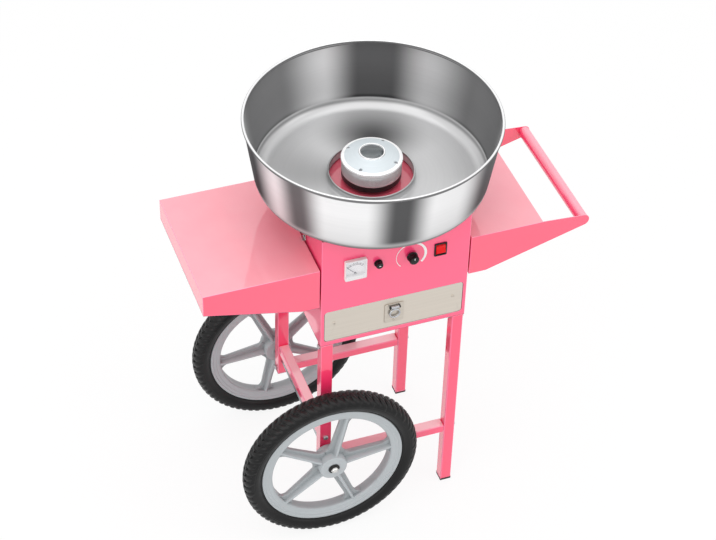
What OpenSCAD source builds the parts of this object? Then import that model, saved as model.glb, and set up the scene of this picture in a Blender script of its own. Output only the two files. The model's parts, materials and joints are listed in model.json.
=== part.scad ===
// Cotton candy cart: a folded sheet cabinet on a square-tube frame with two wheels,
// two side trays, a push handle, a drawer, a control panel and a spinning sugar head in a steel bowl.
// X runs from the left tray to the handle, the control panel faces -Y and the floor is Z = 0.

/* [Cabinet] */
// Width of the cabinet
cab_w = 316; // [306:1:340]
// Depth of the cabinet and of both trays
cab_d = 310; // [300:1:330]
// Height of the cabinet
cab_h = 284; // [278:1:310]
// Height of the cabinet's underside above the floor
cab_z = 506; // [480:1:540]
// Thickness of the folded sheet metal
sheet = 1.5; // [1.2:0.1:2]

/* [Drawer] */
// Cabinet front left showing beside the drawer
drawer_margin = 8; // [6:1:14]
// Cabinet front left showing below the drawer
drawer_rise = 11; // [8:1:16]
// Height of the drawer front
drawer_h = 80; // [74:1:86]
// Thickness of the drawer front
drawer_t = 2; // [1.5:0.1:3]
// Corner radius of the drawer front
drawer_corner = 7; // [3:0.5:12]
// Gap around the drawer front
drawer_gap = 0.8; // [0.5:0.1:1.5]
// Space behind the closed drawer
drawer_back_gap = 18; // [10:1:40]
// Width of the drawer pull's plate
pull_w = 42; // [32:1:60]
// Height of the drawer pull's plate
pull_h = 50; // [46:1:60]
// Radius of the pull ring at the middle of its wire
ring_r = 10.5; // [8:0.5:11]
// Radius of the pull ring's wire
ring_wire = 2; // [1.5:0.1:2.4]

/* [Control panel] */
// Height of the row of controls above the cabinet's underside
row_rise = 197; // [180:1:215]
// Place of the voltmeter from the panel's middle
meter_x = -88; // [-100:1:-80]
// Width of the voltmeter
meter_w = 46; // [42:1:54]
// Height of the voltmeter
meter_h = 50; // [46:1:58]
// Place of the fuse from the panel's middle
fuse_x = -39; // [-44:1:-34]
// Radius of the fuse cap
fuse_r = 7.6; // [6.5:0.1:8.5]
// Place of the heat knob from the panel's middle
knob_x = 32; // [26:1:36]
// Radius of the heat knob
knob_r = 11.5; // [9:0.5:14]
// Length of the heat knob
knob_l = 16; // [12:0.5:22]
// Outer radius of the dial ring around the knob
dial_r = 33; // [28:0.5:36]
// Place of the switch from the panel's middle
switch_x = 94; // [90:1:110]
// Width of the switch bezel
switch_w = 27; // [25:0.5:32]
// Height of the switch bezel
switch_h = 33; // [31:0.5:40]

/* [Frame] */
// Side of the square leg tube
leg_tube = 25; // [22:1:30]
// Wall of the frame tubes
leg_wall = 1.5; // [1.2:0.1:2.5]
// Inset of the legs from the cabinet's sides
leg_inset = 2; // [0:0.5:6]
// Height of the black feet below the right legs
foot_h = 6; // [4:0.5:12]
// Height of the front and rear stretchers
stretcher_h = 20; // [18:1:26]
// Depth of the stretchers' lower face below the axle
stretcher_drop = 36; // [34:1:60]
// Height of the side brace's middle above the axle
brace_rise = 39.5; // [30:0.5:80]
// Side of the side brace's square tube
brace_tube = 22; // [20:1:25]

/* [Wheels] */
// Radius of the tyre
wheel_r = 194; // [180:1:210]
// Width of the tyre
tyre_w = 48; // [40:1:54]
// Height of the tyre's section
tyre_h = 37; // [30:1:42]
// Width of the plastic rim
rim_w = 32; // [26:1:36]
// Radial depth of the rim
rim_h = 22; // [16:1:26]
// Radius of the wheel hub
hub_r = 26; // [22:0.5:30]
// Length of the wheel hub
hub_l = 46; // [44:1:54]
// Gap from the leg to the wheel hub
wheel_gap = 10; // [8:0.5:20]
// Radius of the axle
axle_r = 5; // [4:0.5:6]
// Turn of the front wheel's first spoke
front_turn = 4; // [0:1:71]
// Turn of the rear wheel's first spoke
rear_turn = 42; // [0:1:71]

/* [Trays and handle] */
// Gap between the cabinet and each tray
tray_gap = 3; // [1.5:0.5:5]
// Depth of the trays' top below the cabinet's top
tray_drop = 76; // [70:1:90]
// Length of the left tray
left_tray_l = 241; // [200:1:280]
// Length of the right tray's top
right_tray_l = 157; // [130:1:190]
// Height of the tray sides beside the cabinet
skirt_in = 98; // [90:1:104]
// Height of the left tray's outer end
skirt_out = 50; // [40:1:70]
// Length of the level lower edge of the tray sides
skirt_flat = 36; // [24:1:60]
// Reach of the handle past the right tray
handle_reach = 91; // [70:1:120]
// Depth of the handle's middle below the trays' top
handle_drop = 20; // [16:1:30]
// Radius of the handle tube
handle_r = 12.5; // [10:0.5:14]

/* [Bowl] */
// Radius of the bowl at its rolled rim
bowl_r = 260; // [245:1:280]
// Height of the bowl
bowl_h = 154; // [140:1:180]
// Radius of the bowl where the wall meets its lower corner
bowl_foot_r = 238; // [228:1:246]
// Radius of the bowl's lower corner
bowl_corner = 28; // [18:1:36]
// Thickness of the bowl's steel
bowl_t = 1.2; // [0.8:0.1:1.8]
// Radius of the rolled rim
rim_bead = 3; // [2:0.1:4]
// Radius of the hole around the head
bowl_hole_r = 86; // [82:0.5:95]
// Height of the collar around the hole
collar_h = 18; // [12:1:26]
// Thickness of the seal under the bowl
gasket_t = 3; // [2:0.5:5]

/* [Spinning head] */
// Radius of the head's cover
head_r = 62.5; // [56:0.5:66]
// Height of the head's cover edge above the cabinet
head_rise = 56; // [48:1:64]
// Height of the cover's cone
cone_h = 12; // [8:1:18]
// Radius of the sugar hole
sugar_r = 23.5; // [18:0.5:28]
// Height of the perforated band
band_h = 28; // [22:1:32]
// Radius of the motor shaft
shaft_r = 5; // [4:0.5:6]
// Radius of the motor
motor_r = 42; // [36:1:48]
// Length of the motor
motor_l = 115; // [95:1:125]
// Height of the rubber motor mounts
damper_h = 15; // [14.5:0.5:20]

/* [Hidden] */
$fn = 96;
hex = 6;

pink = [1, 0.45, 0.57];
steel = [0.78, 0.79, 0.8];
alloy = [0.86, 0.86, 0.86];
zinc = [0.62, 0.63, 0.65];
brass = [0.8, 0.63, 0.3];
black = [0.07, 0.07, 0.08];
rubber = [0.1, 0.1, 0.1];
grey = [0.72, 0.75, 0.77];
beige = [0.83, 0.79, 0.74];
white = [0.95, 0.95, 0.94];
clear = 0.4;
red = [0.85, 0.08, 0.08];

// Clearances
run_fit = 0.05;
seat_fit = 0.02;
slide_fit = 0.3;
hole_fit = 0.2;
tube_fit = 0.3;
cut = 1;
through = 6;

// Cabinet faces
side_x = cab_w / 2;
front_y = -cab_d / 2;
back_y = cab_d / 2;
top_z = cab_z + cab_h;
in_x = side_x - sheet;
in_front = front_y + sheet;
in_back = back_y - 2 * sheet;
lid_z = top_z - sheet;
flange_w = 12;

// Drawer and its runners
drawer_w = cab_w - 2 * drawer_margin;
drawer_z = cab_z + drawer_rise;
drawer_mid = drawer_z + drawer_h / 2;
drawer_recess = 0.6;
face_y = front_y + drawer_recess;
box_y = face_y + drawer_t;
box_back = in_back - drawer_back_gap;
lip_setback = 1;
lip_x = drawer_w / 2 - lip_setback;
lip_w = 9;
box_x = lip_x - lip_w;
box_rise = 6;
box_drop = 14;
box_z = drawer_z + box_rise;
box_top = drawer_z + drawer_h - box_drop;
ledge_t = 2.5;
runner_gap = 0.5;
runner_setback = 4;
runner_y = in_front + runner_setback;
shelf_gap = 5;
shelf_z = drawer_z + drawer_h + shelf_gap;
drawer_screw_inset = 11;
drawer_screw_rise = 7;
drawer_screw_x = box_x - drawer_screw_inset;
drawer_screw_z = drawer_mid + drawer_screw_rise;
drawer_screw_r = 2;
drawer_screw_head = 4;
drawer_screw_t = 1.8;
screw_end = 2;
pull_t = 2;
pull_corner = 4;
pull_screw_rise = 6;
pull_screw_z = drawer_mid - pull_h / 2 + pull_screw_rise;
pull_screw_head = 3.5;
pull_screw_t = 1.6;
pin_r = 1.5;
pin_drop = 7;
pin_stand = 3.6;
pin_z = drawer_mid + pull_h / 2 - pin_drop;
pin_y = face_y - pull_t - pin_stand;
sleeve_r = 3.3;
ear_t = 3;
ear_r = 3;
sleeve_w = 17;
neck_l = 3;
neck_w = 6;
neck_t = 3;
ring_z = pin_z - sleeve_r - neck_l - ring_r;

// Control panel
row_z = cab_z + row_rise;
meter_proud = 8;
meter_wall = 2.5;
meter_band = 11;
meter_corner = 3;
pocket_d = 6.5;
pocket_w = meter_w - 2 * meter_wall;
pocket_h = meter_h - meter_band - meter_wall;
meter_can_r = 17;
meter_can_l = 22;
lens_t = 1;
dial_t = 0.6;
needle_pin_r = 0.9;
needle_l = 24;
needle_t = 0.8;
needle_lift = 0.5;
needle_hub_r = 2.2;
needle_hub_t = 1.8;
needle_rest = 45;
pivot_rise = 3;
pivot_z = row_z - meter_h / 2 + meter_band + pivot_rise;
dial_front = meter_proud - pocket_d + dial_t;
fuse_flange = 2.5;
fuse_rim = 1.4;
fuse_nut = 3;
fuse_floor = 2;
fuse_slot_w = 1.6;
fuse_slot_d = 1.5;
fuse_body_r = 6.4;
fuse_bore = 4;
fuse_l = 24;
fuse_cap_l = 9;
stem_r = 3;
stem_floor = 3;
pot_r = 12;
pot_l = 13;
bush_r = 4.8;
bush_proud = 3;
knob_skirt_t = 3;
knob_step = 1;
knob_mark_w = 1.2;
knob_mark_l = 6;
knob_mark_d = 1;
board_w = 60;
board_h = 44;
board_t = 1.6;
ring_t = 0.5;
ring_thin = 1;
ring_thick = 5.4;
ring_gap_angle = 45;
bezel_t = 2.5;
bezel_corner = 2.5;
bezel_side = 3.5;
bezel_end = 3.6;
switch_lip = 1.5;
switch_end_lip = 1.2;
drum_floor = 4;
rocker_w = switch_w - 2 * bezel_side;
drum_r = switch_h / 2 - bezel_end;
drum_y = 5.5;
rocker_proud = 9;
rocker_tilt = 9;
switch_body = switch_h / 2 - switch_end_lip;
switch_neck = switch_w - 2 * switch_lip;
switch_depth = drum_y + drum_r + drum_floor;

// Frame
leg_out = side_x - leg_inset;
leg_x = leg_out - leg_tube / 2;
leg_in = leg_out - leg_tube;
leg_y = back_y - leg_tube / 2;
leg_y_in = back_y - leg_tube;
plug_w = leg_tube - 2 * leg_wall - 2 * tube_fit;
plug_l = 24;
stub_l = 30;
stub_bolt_drop = 11;
stub_bolt_z = cab_z - stub_bolt_drop;
axle_z = wheel_r;
stretcher_z = axle_z - stretcher_drop;
stretcher_mid = stretcher_z + stretcher_h / 2;
brace_z = axle_z + brace_rise;
end_plate = 4;
bolt_r = 3;
bolt_head_r = 5.8;
bolt_head_t = 4;
nut_t = 5;
nut_gap = 4;

// Wheels
wheel_y = back_y + wheel_gap + hub_l / 2;
rim_r = wheel_r - tyre_h;
rim_in = rim_r - rim_h;
bush_wall = 4;
bush_out = axle_r + run_fit + bush_wall;
spokes = 5;
spoke_web = 10;
spoke_rib = 7;
rib_inset = 4;
// Half widths of a spoke from the hub to the rim, and where they are
spoke_foot = 15;
spoke_root = 12;
spoke_waist = 11;
spoke_neck = 14;
spoke_tip = 23;
root_run = 14;
waist_run = 24;
neck_run = 9;
spoke_bite = 3;
rim_land = 7;
tyre_steps = 36;
tyre_round = 0.7;
rim_taper = 3;
spacer_wall = 4;
washer_t = 1.5;
washer_r = 12.5;
end_nut_r = 8.5;
end_nut_t = 5;
end_nut_floor = 1;
dome_r = 6.5;
dome_sink = 2.5;
hub_out = wheel_y + hub_l / 2 + slide_fit;
axle_end = hub_out + washer_t + end_nut_t - end_nut_floor;

// Trays and handle
tray_z = top_z - tray_drop;
tray_in = side_x + tray_gap;
left_end = tray_in + left_tray_l;
right_end = tray_in + right_tray_l;
handle_x = right_end + handle_reach;
handle_z = tray_z - handle_drop;
bracket_rim = 1;
bracket_r = handle_r + bracket_rim;
lip_h = 15;
tray_bolt_r = 2.5;
tray_nut_r = 5;
tray_head_t = 3.5;
tray_bolt_inset = 45;
tray_bolt_high = 26;
tray_bolt_low = 72;
tray_bolt_y = back_y - tray_bolt_inset;
tray_bolt_z = [tray_z - tray_bolt_high, tray_z - tray_bolt_low];
spacer_r = 8;

// The whole cart is centred over the floor between the left tray's end and the handle's end
cart_x = (left_end - handle_x - bracket_r) / 2;

// Bowl and its clips
bowl_z = top_z + gasket_t;
gasket_r = 106;
gasket_w = 12;
collar_bead = 1.6;
arc_steps = 10;
clip_y = 55;
clip_drop = 38;
clip_z = top_z - clip_drop;
clip_t = 2;
clip_gap = 0.5;
clip_w = 16;
clip_tray_gap = 4;
clip_tail = tray_drop - clip_drop - clip_tray_gap;
clip_head = 9;
clip_tab = 6;
clip_swing = 40;
stud_r = 4;
stud_head_r = 7;
peg_r = 3;
peg_reach = 28;
catch_t = 2;
catch_w = 14;
peg_gap = 0.2;
clip_in = side_x + clip_gap;
clip_out = clip_in + clip_t;
catch_in = clip_out + clip_gap;
stud_head_t = 1.5;

// Spinning head and motor
edge_h = 4;
cover_z = top_z + head_rise - edge_h;
band_z = cover_z - band_h;
base_h = 13;
base_z = band_z - base_h;
cover_overhang = 1.5;
band_r = head_r - cover_overhang;
band_t = 1.2;
cover_t = 2;
cover_lap = 1;
edge_break = 1;
lip_t = 1.5;
lip_ring = 3;
screw_inset = 9.5;
screw_ring_r = head_r - screw_inset;
heater_inset = 7;
heater_w = 8;
heater_gap = 1;
heater_out = screw_ring_r - heater_inset;
heater_in = heater_out - heater_w;
heater_h = 7;
groove_d = 8;
screw_r = 1.8;
screw_head_r = 3.5;
screw_seat = 2.2;
screw_turns = [45, 135, 225, 315];
screw_bite = 5;
shaft_seat = 6;
hole_r = 25;
stud_pitch = 70;
mount_r = 10;
mount_stud_r = 3;
plate_t = 3;
plate_margin = 15;
plate_half = stud_pitch + plate_margin;
plate_z = lid_z - damper_h - plate_t;
motor_z = plate_z - motor_l;
motor_end = 5;
shaft_foot = 1;
stator_t = 11.4;
air_gap = 0.6;
stator_r = motor_r - stator_t;
rotor_r = stator_r - air_gap;
rotor_gap = 12;
slip_r = 11;
slip_h = 3.5;
slip_rise = 2.5;
slip_pitch = 6;
slip_room = 4;
deck_z = plate_z + plate_t;
slip_z = [deck_z + slip_rise, deck_z + slip_rise + slip_pitch];
brush_reach = 8;
brush_l = 22;
brush_w = 18;
brush_tip = 5;
brush_gap = 1;

// Rear cover
vent_w = 70;
vent_h = 4;
vent_pitch = 12;
vents = 8;
vent_corner = 1.9;
vent_inset = 90;
vent_rise = 60;
vent_x = side_x - vent_inset;
vent_z = shelf_z + vent_rise;
inlet_inset = 68;
inlet_rise = 28;
inlet_x = inlet_inset - side_x;
inlet_z = shelf_z + inlet_rise;
inlet_w = 48;
inlet_h = 28;
inlet_rim_x = 8;
inlet_rim_z = 3;
inlet_flange = 2.5;
inlet_depth = 22;
inlet_socket = 16;
inlet_corner = 3;
socket_side = 4;
socket_end = 3;
prong_pitch = 7;
prong_w = 2;
prong_h = 4;
prong_short = 3;
cover_screw_r = 1.9;
cover_head_r = 3.6;
cover_head_t = 2;
cover_screw_end = 3;
cover_screw_inset = 30;
cover_screw_z = [cab_z + cover_screw_inset, (cab_z + lid_z) / 2, lid_z - cover_screw_inset];

function arc(cx, cy, r, from, to, steps) =
    [for (i = [0:steps]) let (a = from + (to - from) * i / steps) [cx + r * cos(a), cy + r * sin(a)]];
function power(v, e) = sign(v) * pow(abs(v), e);
// Touching point on a circle of radius r at c of the straight line from p, on the given side
function tangent(p, c, r, side) =
    let (d = norm(c - p), a = atan2(p[1] - c[1], p[0] - c[0]) + side * acos(r / d))
    [c[0] + r * cos(a), c[1] + r * sin(a)];

module centred() { translate([cart_x, 0, 0]) children(); }
module block(x0, x1, y0, y1, z0, z1) { translate([x0, y0, z0]) cube([x1 - x0, y1 - y0, z1 - z0]); }
module rod_x(r, x0, x1, y, z) { translate([x0, y, z]) rotate([0, 90, 0]) cylinder(r = r, h = x1 - x0); }
module rod_y(r, x, y0, y1, z) { translate([x, y0, z]) rotate([-90, 0, 0]) cylinder(r = r, h = y1 - y0); }
// Local X and Y lie in the panel and local Z points out of it, towards the front
module on_front(x, y, z) { translate([x, y, z]) rotate([90, 0, 0]) children(); }
module on_panel(x) { on_front(x, front_y, row_z) children(); }
module slab(w, h, r, t) {
    translate([-w / 2, -h / 2 + r, 0]) cube([w, h - 2 * r, t]);
    translate([-w / 2 + r, -h / 2, 0]) cube([w - 2 * r, h, t]);
    for (x = [-1, 1], y = [-1, 1])
        translate([x * (w / 2 - r), y * (h / 2 - r), 0]) cylinder(r = r, h = t);
}
module tube_z(w, wall, x, y, z0, z1) {
    difference() {
        block(x - w / 2, x + w / 2, y - w / 2, y + w / 2, z0, z1);
        block(x - w / 2 + wall, x + w / 2 - wall, y - w / 2 + wall, y + w / 2 - wall, z0 - cut, z1 + cut);
    }
}
// Hexagon bolt along local Z: its head sits on Z = 0 and its shank runs down from there
module bolt(r, head_r, head_t, shank) {
    cylinder(r = head_r, h = head_t, $fn = hex);
    translate([0, 0, -shank]) cylinder(r = r, h = shank);
}
module pan_screw(r, head_r, head_t, shank) {
    cylinder(r = head_r, h = head_t);
    translate([0, 0, -shank]) cylinder(r = r, h = shank);
}

// Cabinet
module tray_bolt_holes(extra) {
    for (s = [-1, 1], y = [-tray_bolt_y, tray_bolt_y], z = tray_bolt_z)
        translate([s * side_x, y, z]) rotate([0, 90, 0])
            cylinder(r = tray_bolt_r + hole_fit, h = extra, center = true);
}
module cover_screw_holes() {
    for (s = [-1, 1], z = cover_screw_z)
        rod_y(cover_screw_r + hole_fit, s * (in_x - flange_w / 2), in_back - cut, back_y + cut, z);
}
module cabinet_shell() {
    color(pink) difference() {
        union() {
            difference() {
                block(-side_x, side_x, front_y, back_y, cab_z, lid_z);
                block(-in_x, in_x, in_front, back_y + cut, cab_z - cut, lid_z + cut);
            }
            for (s = [-1, 1])
                block(s > 0 ? in_x - flange_w : -in_x, s > 0 ? in_x : -in_x + flange_w,
                    in_back, in_back + sheet, cab_z, lid_z);
            for (s = [-1, 1]) rotate([0, 0, s > 0 ? 180 : 0]) {
                rod_x(stud_r, -catch_in, -side_x, -clip_y, clip_z);
                rod_x(stud_head_r, -catch_in - stud_head_t, -catch_in, -clip_y, clip_z);
            }
        }
        on_front(0, in_front + cut, drawer_mid)
            slab(drawer_w + 2 * drawer_gap, drawer_h + 2 * drawer_gap, drawer_corner + drawer_gap,
                sheet + 2 * cut);
        on_panel(meter_x) cylinder(r = meter_can_r + hole_fit, h = through, center = true);
        on_panel(fuse_x) cylinder(r = fuse_body_r + hole_fit, h = through, center = true);
        on_panel(knob_x) cylinder(r = bush_r + hole_fit, h = through, center = true);
        on_panel(switch_x)
            cube([switch_neck, 2 * switch_body + 2 * hole_fit, through], center = true);
        tray_bolt_holes(through);
        cover_screw_holes();
    }
}
module cabinet_floor() {
    color(pink) difference() {
        union() {
            block(-in_x, in_x, in_front, in_back, cab_z, cab_z + sheet);
            for (x = [-leg_x, leg_x], y = [-leg_y, leg_y])
                block(x - plug_w / 2, x + plug_w / 2, y - plug_w / 2, y + plug_w / 2, cab_z - stub_l, cab_z);
        }
        for (y = [-leg_y, leg_y])
            rod_x(bolt_r + hole_fit, -side_x, side_x, y, stub_bolt_z);
    }
}
module top_plate() {
    color(pink) difference() {
        block(-side_x, side_x, front_y, back_y, lid_z, top_z);
        translate([0, 0, lid_z - cut]) cylinder(r = hole_r, h = sheet + 2 * cut);
        for (x = [-1, 1], y = [-1, 1])
            translate([x * stud_pitch, y * stud_pitch, lid_z - cut])
                cylinder(r = mount_stud_r + hole_fit, h = sheet + 2 * cut);
    }
}
module rear_cover() {
    color(pink) difference() {
        block(-in_x, in_x, in_back + sheet, back_y, cab_z, lid_z);
        for (x = [-vent_x, vent_x], i = [0:vents - 1])
            translate([x, back_y + cut, vent_z + i * vent_pitch]) rotate([90, 0, 0])
                slab(vent_w, vent_h, vent_corner, sheet + 2 * cut);
        block(inlet_x - inlet_w / 2 + inlet_rim_x, inlet_x + inlet_w / 2 - inlet_rim_x, in_back, back_y + cut,
            inlet_z - inlet_h / 2 + inlet_rim_z, inlet_z + inlet_h / 2 - inlet_rim_z);
        cover_screw_holes();
    }
}
module drawer_shelf() {
    color(zinc) block(-in_x, in_x, in_front, in_back, shelf_z, shelf_z + sheet);
}
module drawer_runners() {
    ledge_top = box_top - sheet - slide_fit;
    keeper_z = box_top + slide_fit;
    color(zinc) for (s = [0, 1]) mirror([s, 0, 0]) difference() {
        block(box_x + runner_gap, in_x, runner_y, box_back, ledge_top - ledge_t, keeper_z + ledge_t);
        block(box_x, lip_x + runner_gap, runner_y - cut, box_back + cut, ledge_top, keeper_z);
    }
}

// Frame
module left_leg(y) {
    color(pink) difference() {
        tube_z(leg_tube, leg_wall, -leg_x, y, stretcher_z, cab_z);
        rod_x(bolt_r + hole_fit, -side_x, 0, y, stub_bolt_z);
        rod_x(bolt_r + hole_fit, -side_x, 0, y, stretcher_mid);
        rod_y(bolt_r + hole_fit, -leg_x, y - leg_tube, y + leg_tube, brace_z);
        rod_y(axle_r + hole_fit, -leg_x, y - leg_tube, y + leg_tube, axle_z);
    }
}
module right_leg(y) {
    color(pink) difference() {
        tube_z(leg_tube, leg_wall, leg_x, y, foot_h, cab_z);
        rod_x(bolt_r + hole_fit, 0, side_x, y, stub_bolt_z);
        rod_x(bolt_r + hole_fit, 0, side_x, y, stretcher_mid);
    }
}
module front_left_leg() { left_leg(-leg_y); }
module rear_left_leg() { left_leg(leg_y); }
module front_right_leg() { right_leg(-leg_y); }
module rear_right_leg() { right_leg(leg_y); }
module leg_feet() {
    color(black) for (y = [-leg_y, leg_y]) {
        translate([leg_x, y, foot_h / 2]) cube([leg_tube, leg_tube, foot_h], center = true);
        translate([leg_x, y, foot_h + plug_l / 2]) cube([plug_w, plug_w, plug_l], center = true);
    }
}
module stretcher(y) {
    color(pink) difference() {
        block(-leg_in, leg_in, y - leg_tube / 2, y + leg_tube / 2, stretcher_z, stretcher_z + stretcher_h);
        block(-leg_in + end_plate, leg_in - end_plate,
            y - leg_tube / 2 + leg_wall, y + leg_tube / 2 - leg_wall,
            stretcher_z + leg_wall, stretcher_z + stretcher_h - leg_wall);
        rod_x(bolt_r + hole_fit, -side_x, side_x, y, stretcher_mid);
    }
}
module front_stretcher() { stretcher(-leg_y); }
module rear_stretcher() { stretcher(leg_y); }
module side_brace() {
    half = brace_tube / 2;
    color(pink) difference() {
        block(-leg_x - half, -leg_x + half, -leg_y_in, leg_y_in, brace_z - half, brace_z + half);
        block(-leg_x - half + leg_wall, -leg_x + half - leg_wall, -leg_y_in + end_plate, leg_y_in - end_plate,
            brace_z - half + leg_wall, brace_z + half - leg_wall);
        rod_y(bolt_r + hole_fit, -leg_x, -back_y, back_y, brace_z);
    }
}
module frame_bolts() {
    grip = leg_tube + end_plate + nut_gap;
    color(zinc) {
        for (s = [-1, 1], y = [-leg_y, leg_y]) {
            translate([s * leg_out, y, stub_bolt_z]) rotate([0, s * 90, 0]) {
                bolt(bolt_r, bolt_head_r, bolt_head_t, leg_tube + nut_t);
                translate([0, 0, -leg_tube - nut_t]) cylinder(r = bolt_head_r, h = nut_t, $fn = hex);
            }
            translate([s * leg_out, y, stretcher_mid]) rotate([0, s * 90, 0])
                bolt(bolt_r, bolt_head_r, bolt_head_t, grip);
        }
        for (s = [-1, 1])
            translate([-leg_x, s * back_y, brace_z]) rotate([-s * 90, 0, 0])
                bolt(bolt_r, bolt_head_r, bolt_head_t, grip);
    }
}

// Axle and wheels
module axle() { color(steel) rod_y(axle_r, -leg_x, -axle_end, axle_end, axle_z); }
module axle_spacers() {
    color(black) for (s = [0, 1]) mirror([0, s, 0]) difference() {
        union() {
            rod_y(axle_r + spacer_wall, -leg_x, back_y, back_y + wheel_gap - slide_fit, axle_z);
            rod_y(washer_r, -leg_x, hub_out, hub_out + washer_t, axle_z);
        }
        rod_y(axle_r + run_fit, -leg_x, 0, hub_out + 2 * washer_t, axle_z);
    }
}
module axle_nuts() {
    color(steel) for (s = [-1, 1])
        translate([-leg_x, s * (hub_out + washer_t), axle_z]) rotate([-s * 90, 0, 0]) difference() {
            union() {
                cylinder(r = end_nut_r, h = end_nut_t, $fn = hex);
                translate([0, 0, end_nut_t - dome_sink]) sphere(r = dome_r);
            }
            translate([0, 0, -dome_r])
                cylinder(r = axle_r + seat_fit, h = dome_r + end_nut_t - end_nut_floor + seat_fit);
            translate([0, 0, -2 * end_nut_r]) cube(4 * end_nut_r, center = true);
        }
}
// Wheel pieces are drawn about local Z and stood up on the axle
module on_wheel(s) { on_front(-leg_x, s * wheel_y, axle_z) children(); }
module tyre() {
    mid = (wheel_r + rim_r + run_fit) / 2;
    half = wheel_r - mid;
    color(rubber) rotate_extrude() polygon([for (i = [0:tyre_steps - 1]) let (a = i * 360 / tyre_steps)
        [mid + half * power(cos(a), tyre_round), tyre_w / 2 * power(sin(a), tyre_round)]]);
}
module spoke() {
    foot = hub_r - spoke_bite;
    tip = rim_in + spoke_bite;
    root = hub_r + root_run;
    waist = rim_in - waist_run;
    neck = rim_in - neck_run;
    rib_foot = hub_l / 2 - rib_inset;
    rib_tip = rim_w / 2 - rib_inset;
    translate([0, 0, -spoke_web / 2]) linear_extrude(spoke_web) polygon([
        [foot, -spoke_foot], [root, -spoke_root], [waist, -spoke_waist], [neck, -spoke_neck],
        [tip, -spoke_tip], [tip, spoke_tip],
        [neck, spoke_neck], [waist, spoke_waist], [root, spoke_root], [foot, spoke_foot]]);
    translate([0, spoke_rib / 2, 0]) rotate([90, 0, 0]) linear_extrude(spoke_rib) polygon([
        [foot, -rib_foot], [tip, -rib_tip], [tip, rib_tip], [foot, rib_foot]]);
}
module rim(turn) {
    color(grey) difference() {
        union() {
            rotate_extrude() polygon([
                [rim_in, -rim_w / 2 + rim_taper], [rim_r - rim_land, -rim_w / 2], [rim_r, -rim_w / 2],
                [rim_r, rim_w / 2], [rim_r - rim_land, rim_w / 2], [rim_in, rim_w / 2 - rim_taper]]);
            cylinder(r = hub_r, h = hub_l, center = true);
            for (k = [0:spokes - 1]) rotate([0, 0, turn + k * 360 / spokes]) spoke();
        }
        cylinder(r = bush_out + seat_fit, h = hub_l + 2 * cut, center = true);
    }
}
module bush() {
    color(black) difference() {
        cylinder(r = bush_out, h = hub_l, center = true);
        cylinder(r = axle_r + run_fit, h = hub_l + 2 * cut, center = true);
    }
}
module front_tyre() { on_wheel(-1) tyre(); }
module front_rim() { on_wheel(-1) rim(front_turn); }
module front_bush() { on_wheel(-1) bush(); }
module rear_tyre() { on_wheel(1) tyre(); }
module rear_rim() { on_wheel(1) rim(rear_turn); }
module rear_bush() { on_wheel(1) bush(); }

// Trays and handle
module left_tray() {
    flat_x = tray_in + skirt_flat;
    outline = [[-tray_in, tray_z], [-left_end, tray_z], [-left_end, tray_z - skirt_out],
        [-flat_x, tray_z - skirt_in], [-tray_in, tray_z - skirt_in]];
    color(pink) difference() {
        translate([0, back_y, 0]) rotate([90, 0, 0]) linear_extrude(cab_d) polygon(outline);
        block(-left_end + sheet, -tray_in - sheet, front_y + sheet, back_y - sheet,
            tray_z - skirt_in - cut, tray_z - sheet);
        tray_bolt_holes(4 * (tray_gap + sheet));
    }
}
module right_tray() {
    flat_x = tray_in + skirt_flat;
    hub = [handle_x, handle_z];
    upper = [right_end, tray_z];
    lower = [flat_x, tray_z - skirt_in];
    color(pink) difference() {
        union() {
            block(tray_in, right_end, front_y, back_y, tray_z - sheet, tray_z);
            block(tray_in, tray_in + sheet, front_y, back_y, tray_z - skirt_in, tray_z);
            block(right_end - sheet, right_end, front_y, back_y, tray_z - lip_h, tray_z);
            for (y = [front_y + sheet, back_y])
                translate([0, y, 0]) rotate([90, 0, 0]) linear_extrude(sheet) {
                    polygon([[tray_in, tray_z], upper, tangent(upper, hub, bracket_r, -1), hub,
                        tangent(lower, hub, bracket_r, 1), lower, [tray_in, tray_z - skirt_in]]);
                    translate(hub) circle(r = bracket_r);
                }
        }
        tray_bolt_holes(4 * (tray_gap + sheet));
    }
}
module push_handle() {
    color(pink) difference() {
        rod_y(handle_r, handle_x, front_y + sheet, back_y - sheet, handle_z);
        rod_y(handle_r - leg_wall, handle_x, front_y, back_y, handle_z);
    }
}
module tray_bolts() {
    nut_x = sheet + nut_t;
    for (s = [-1, 1], y = [-tray_bolt_y, tray_bolt_y], z = tray_bolt_z)
        translate([s * side_x, y, z]) rotate([0, s * 90, 0]) {
            cylinder(r = spacer_r, h = tray_gap);
            translate([0, 0, tray_gap + sheet])
                bolt(tray_bolt_r, tray_nut_r, tray_head_t, tray_gap + 2 * sheet + nut_t);
            translate([0, 0, -nut_x]) cylinder(r = tray_nut_r, h = nut_t, $fn = hex);
        }
}
module cover_screws() {
    for (s = [-1, 1], z = cover_screw_z)
        translate([s * (in_x - flange_w / 2), back_y, z]) rotate([-90, 0, 0])
            pan_screw(cover_screw_r, cover_head_r, cover_head_t, 2 * sheet + cover_screw_end);
}
module cabinet_fasteners() {
    color(zinc) {
        tray_bolts();
        cover_screws();
    }
}
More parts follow.
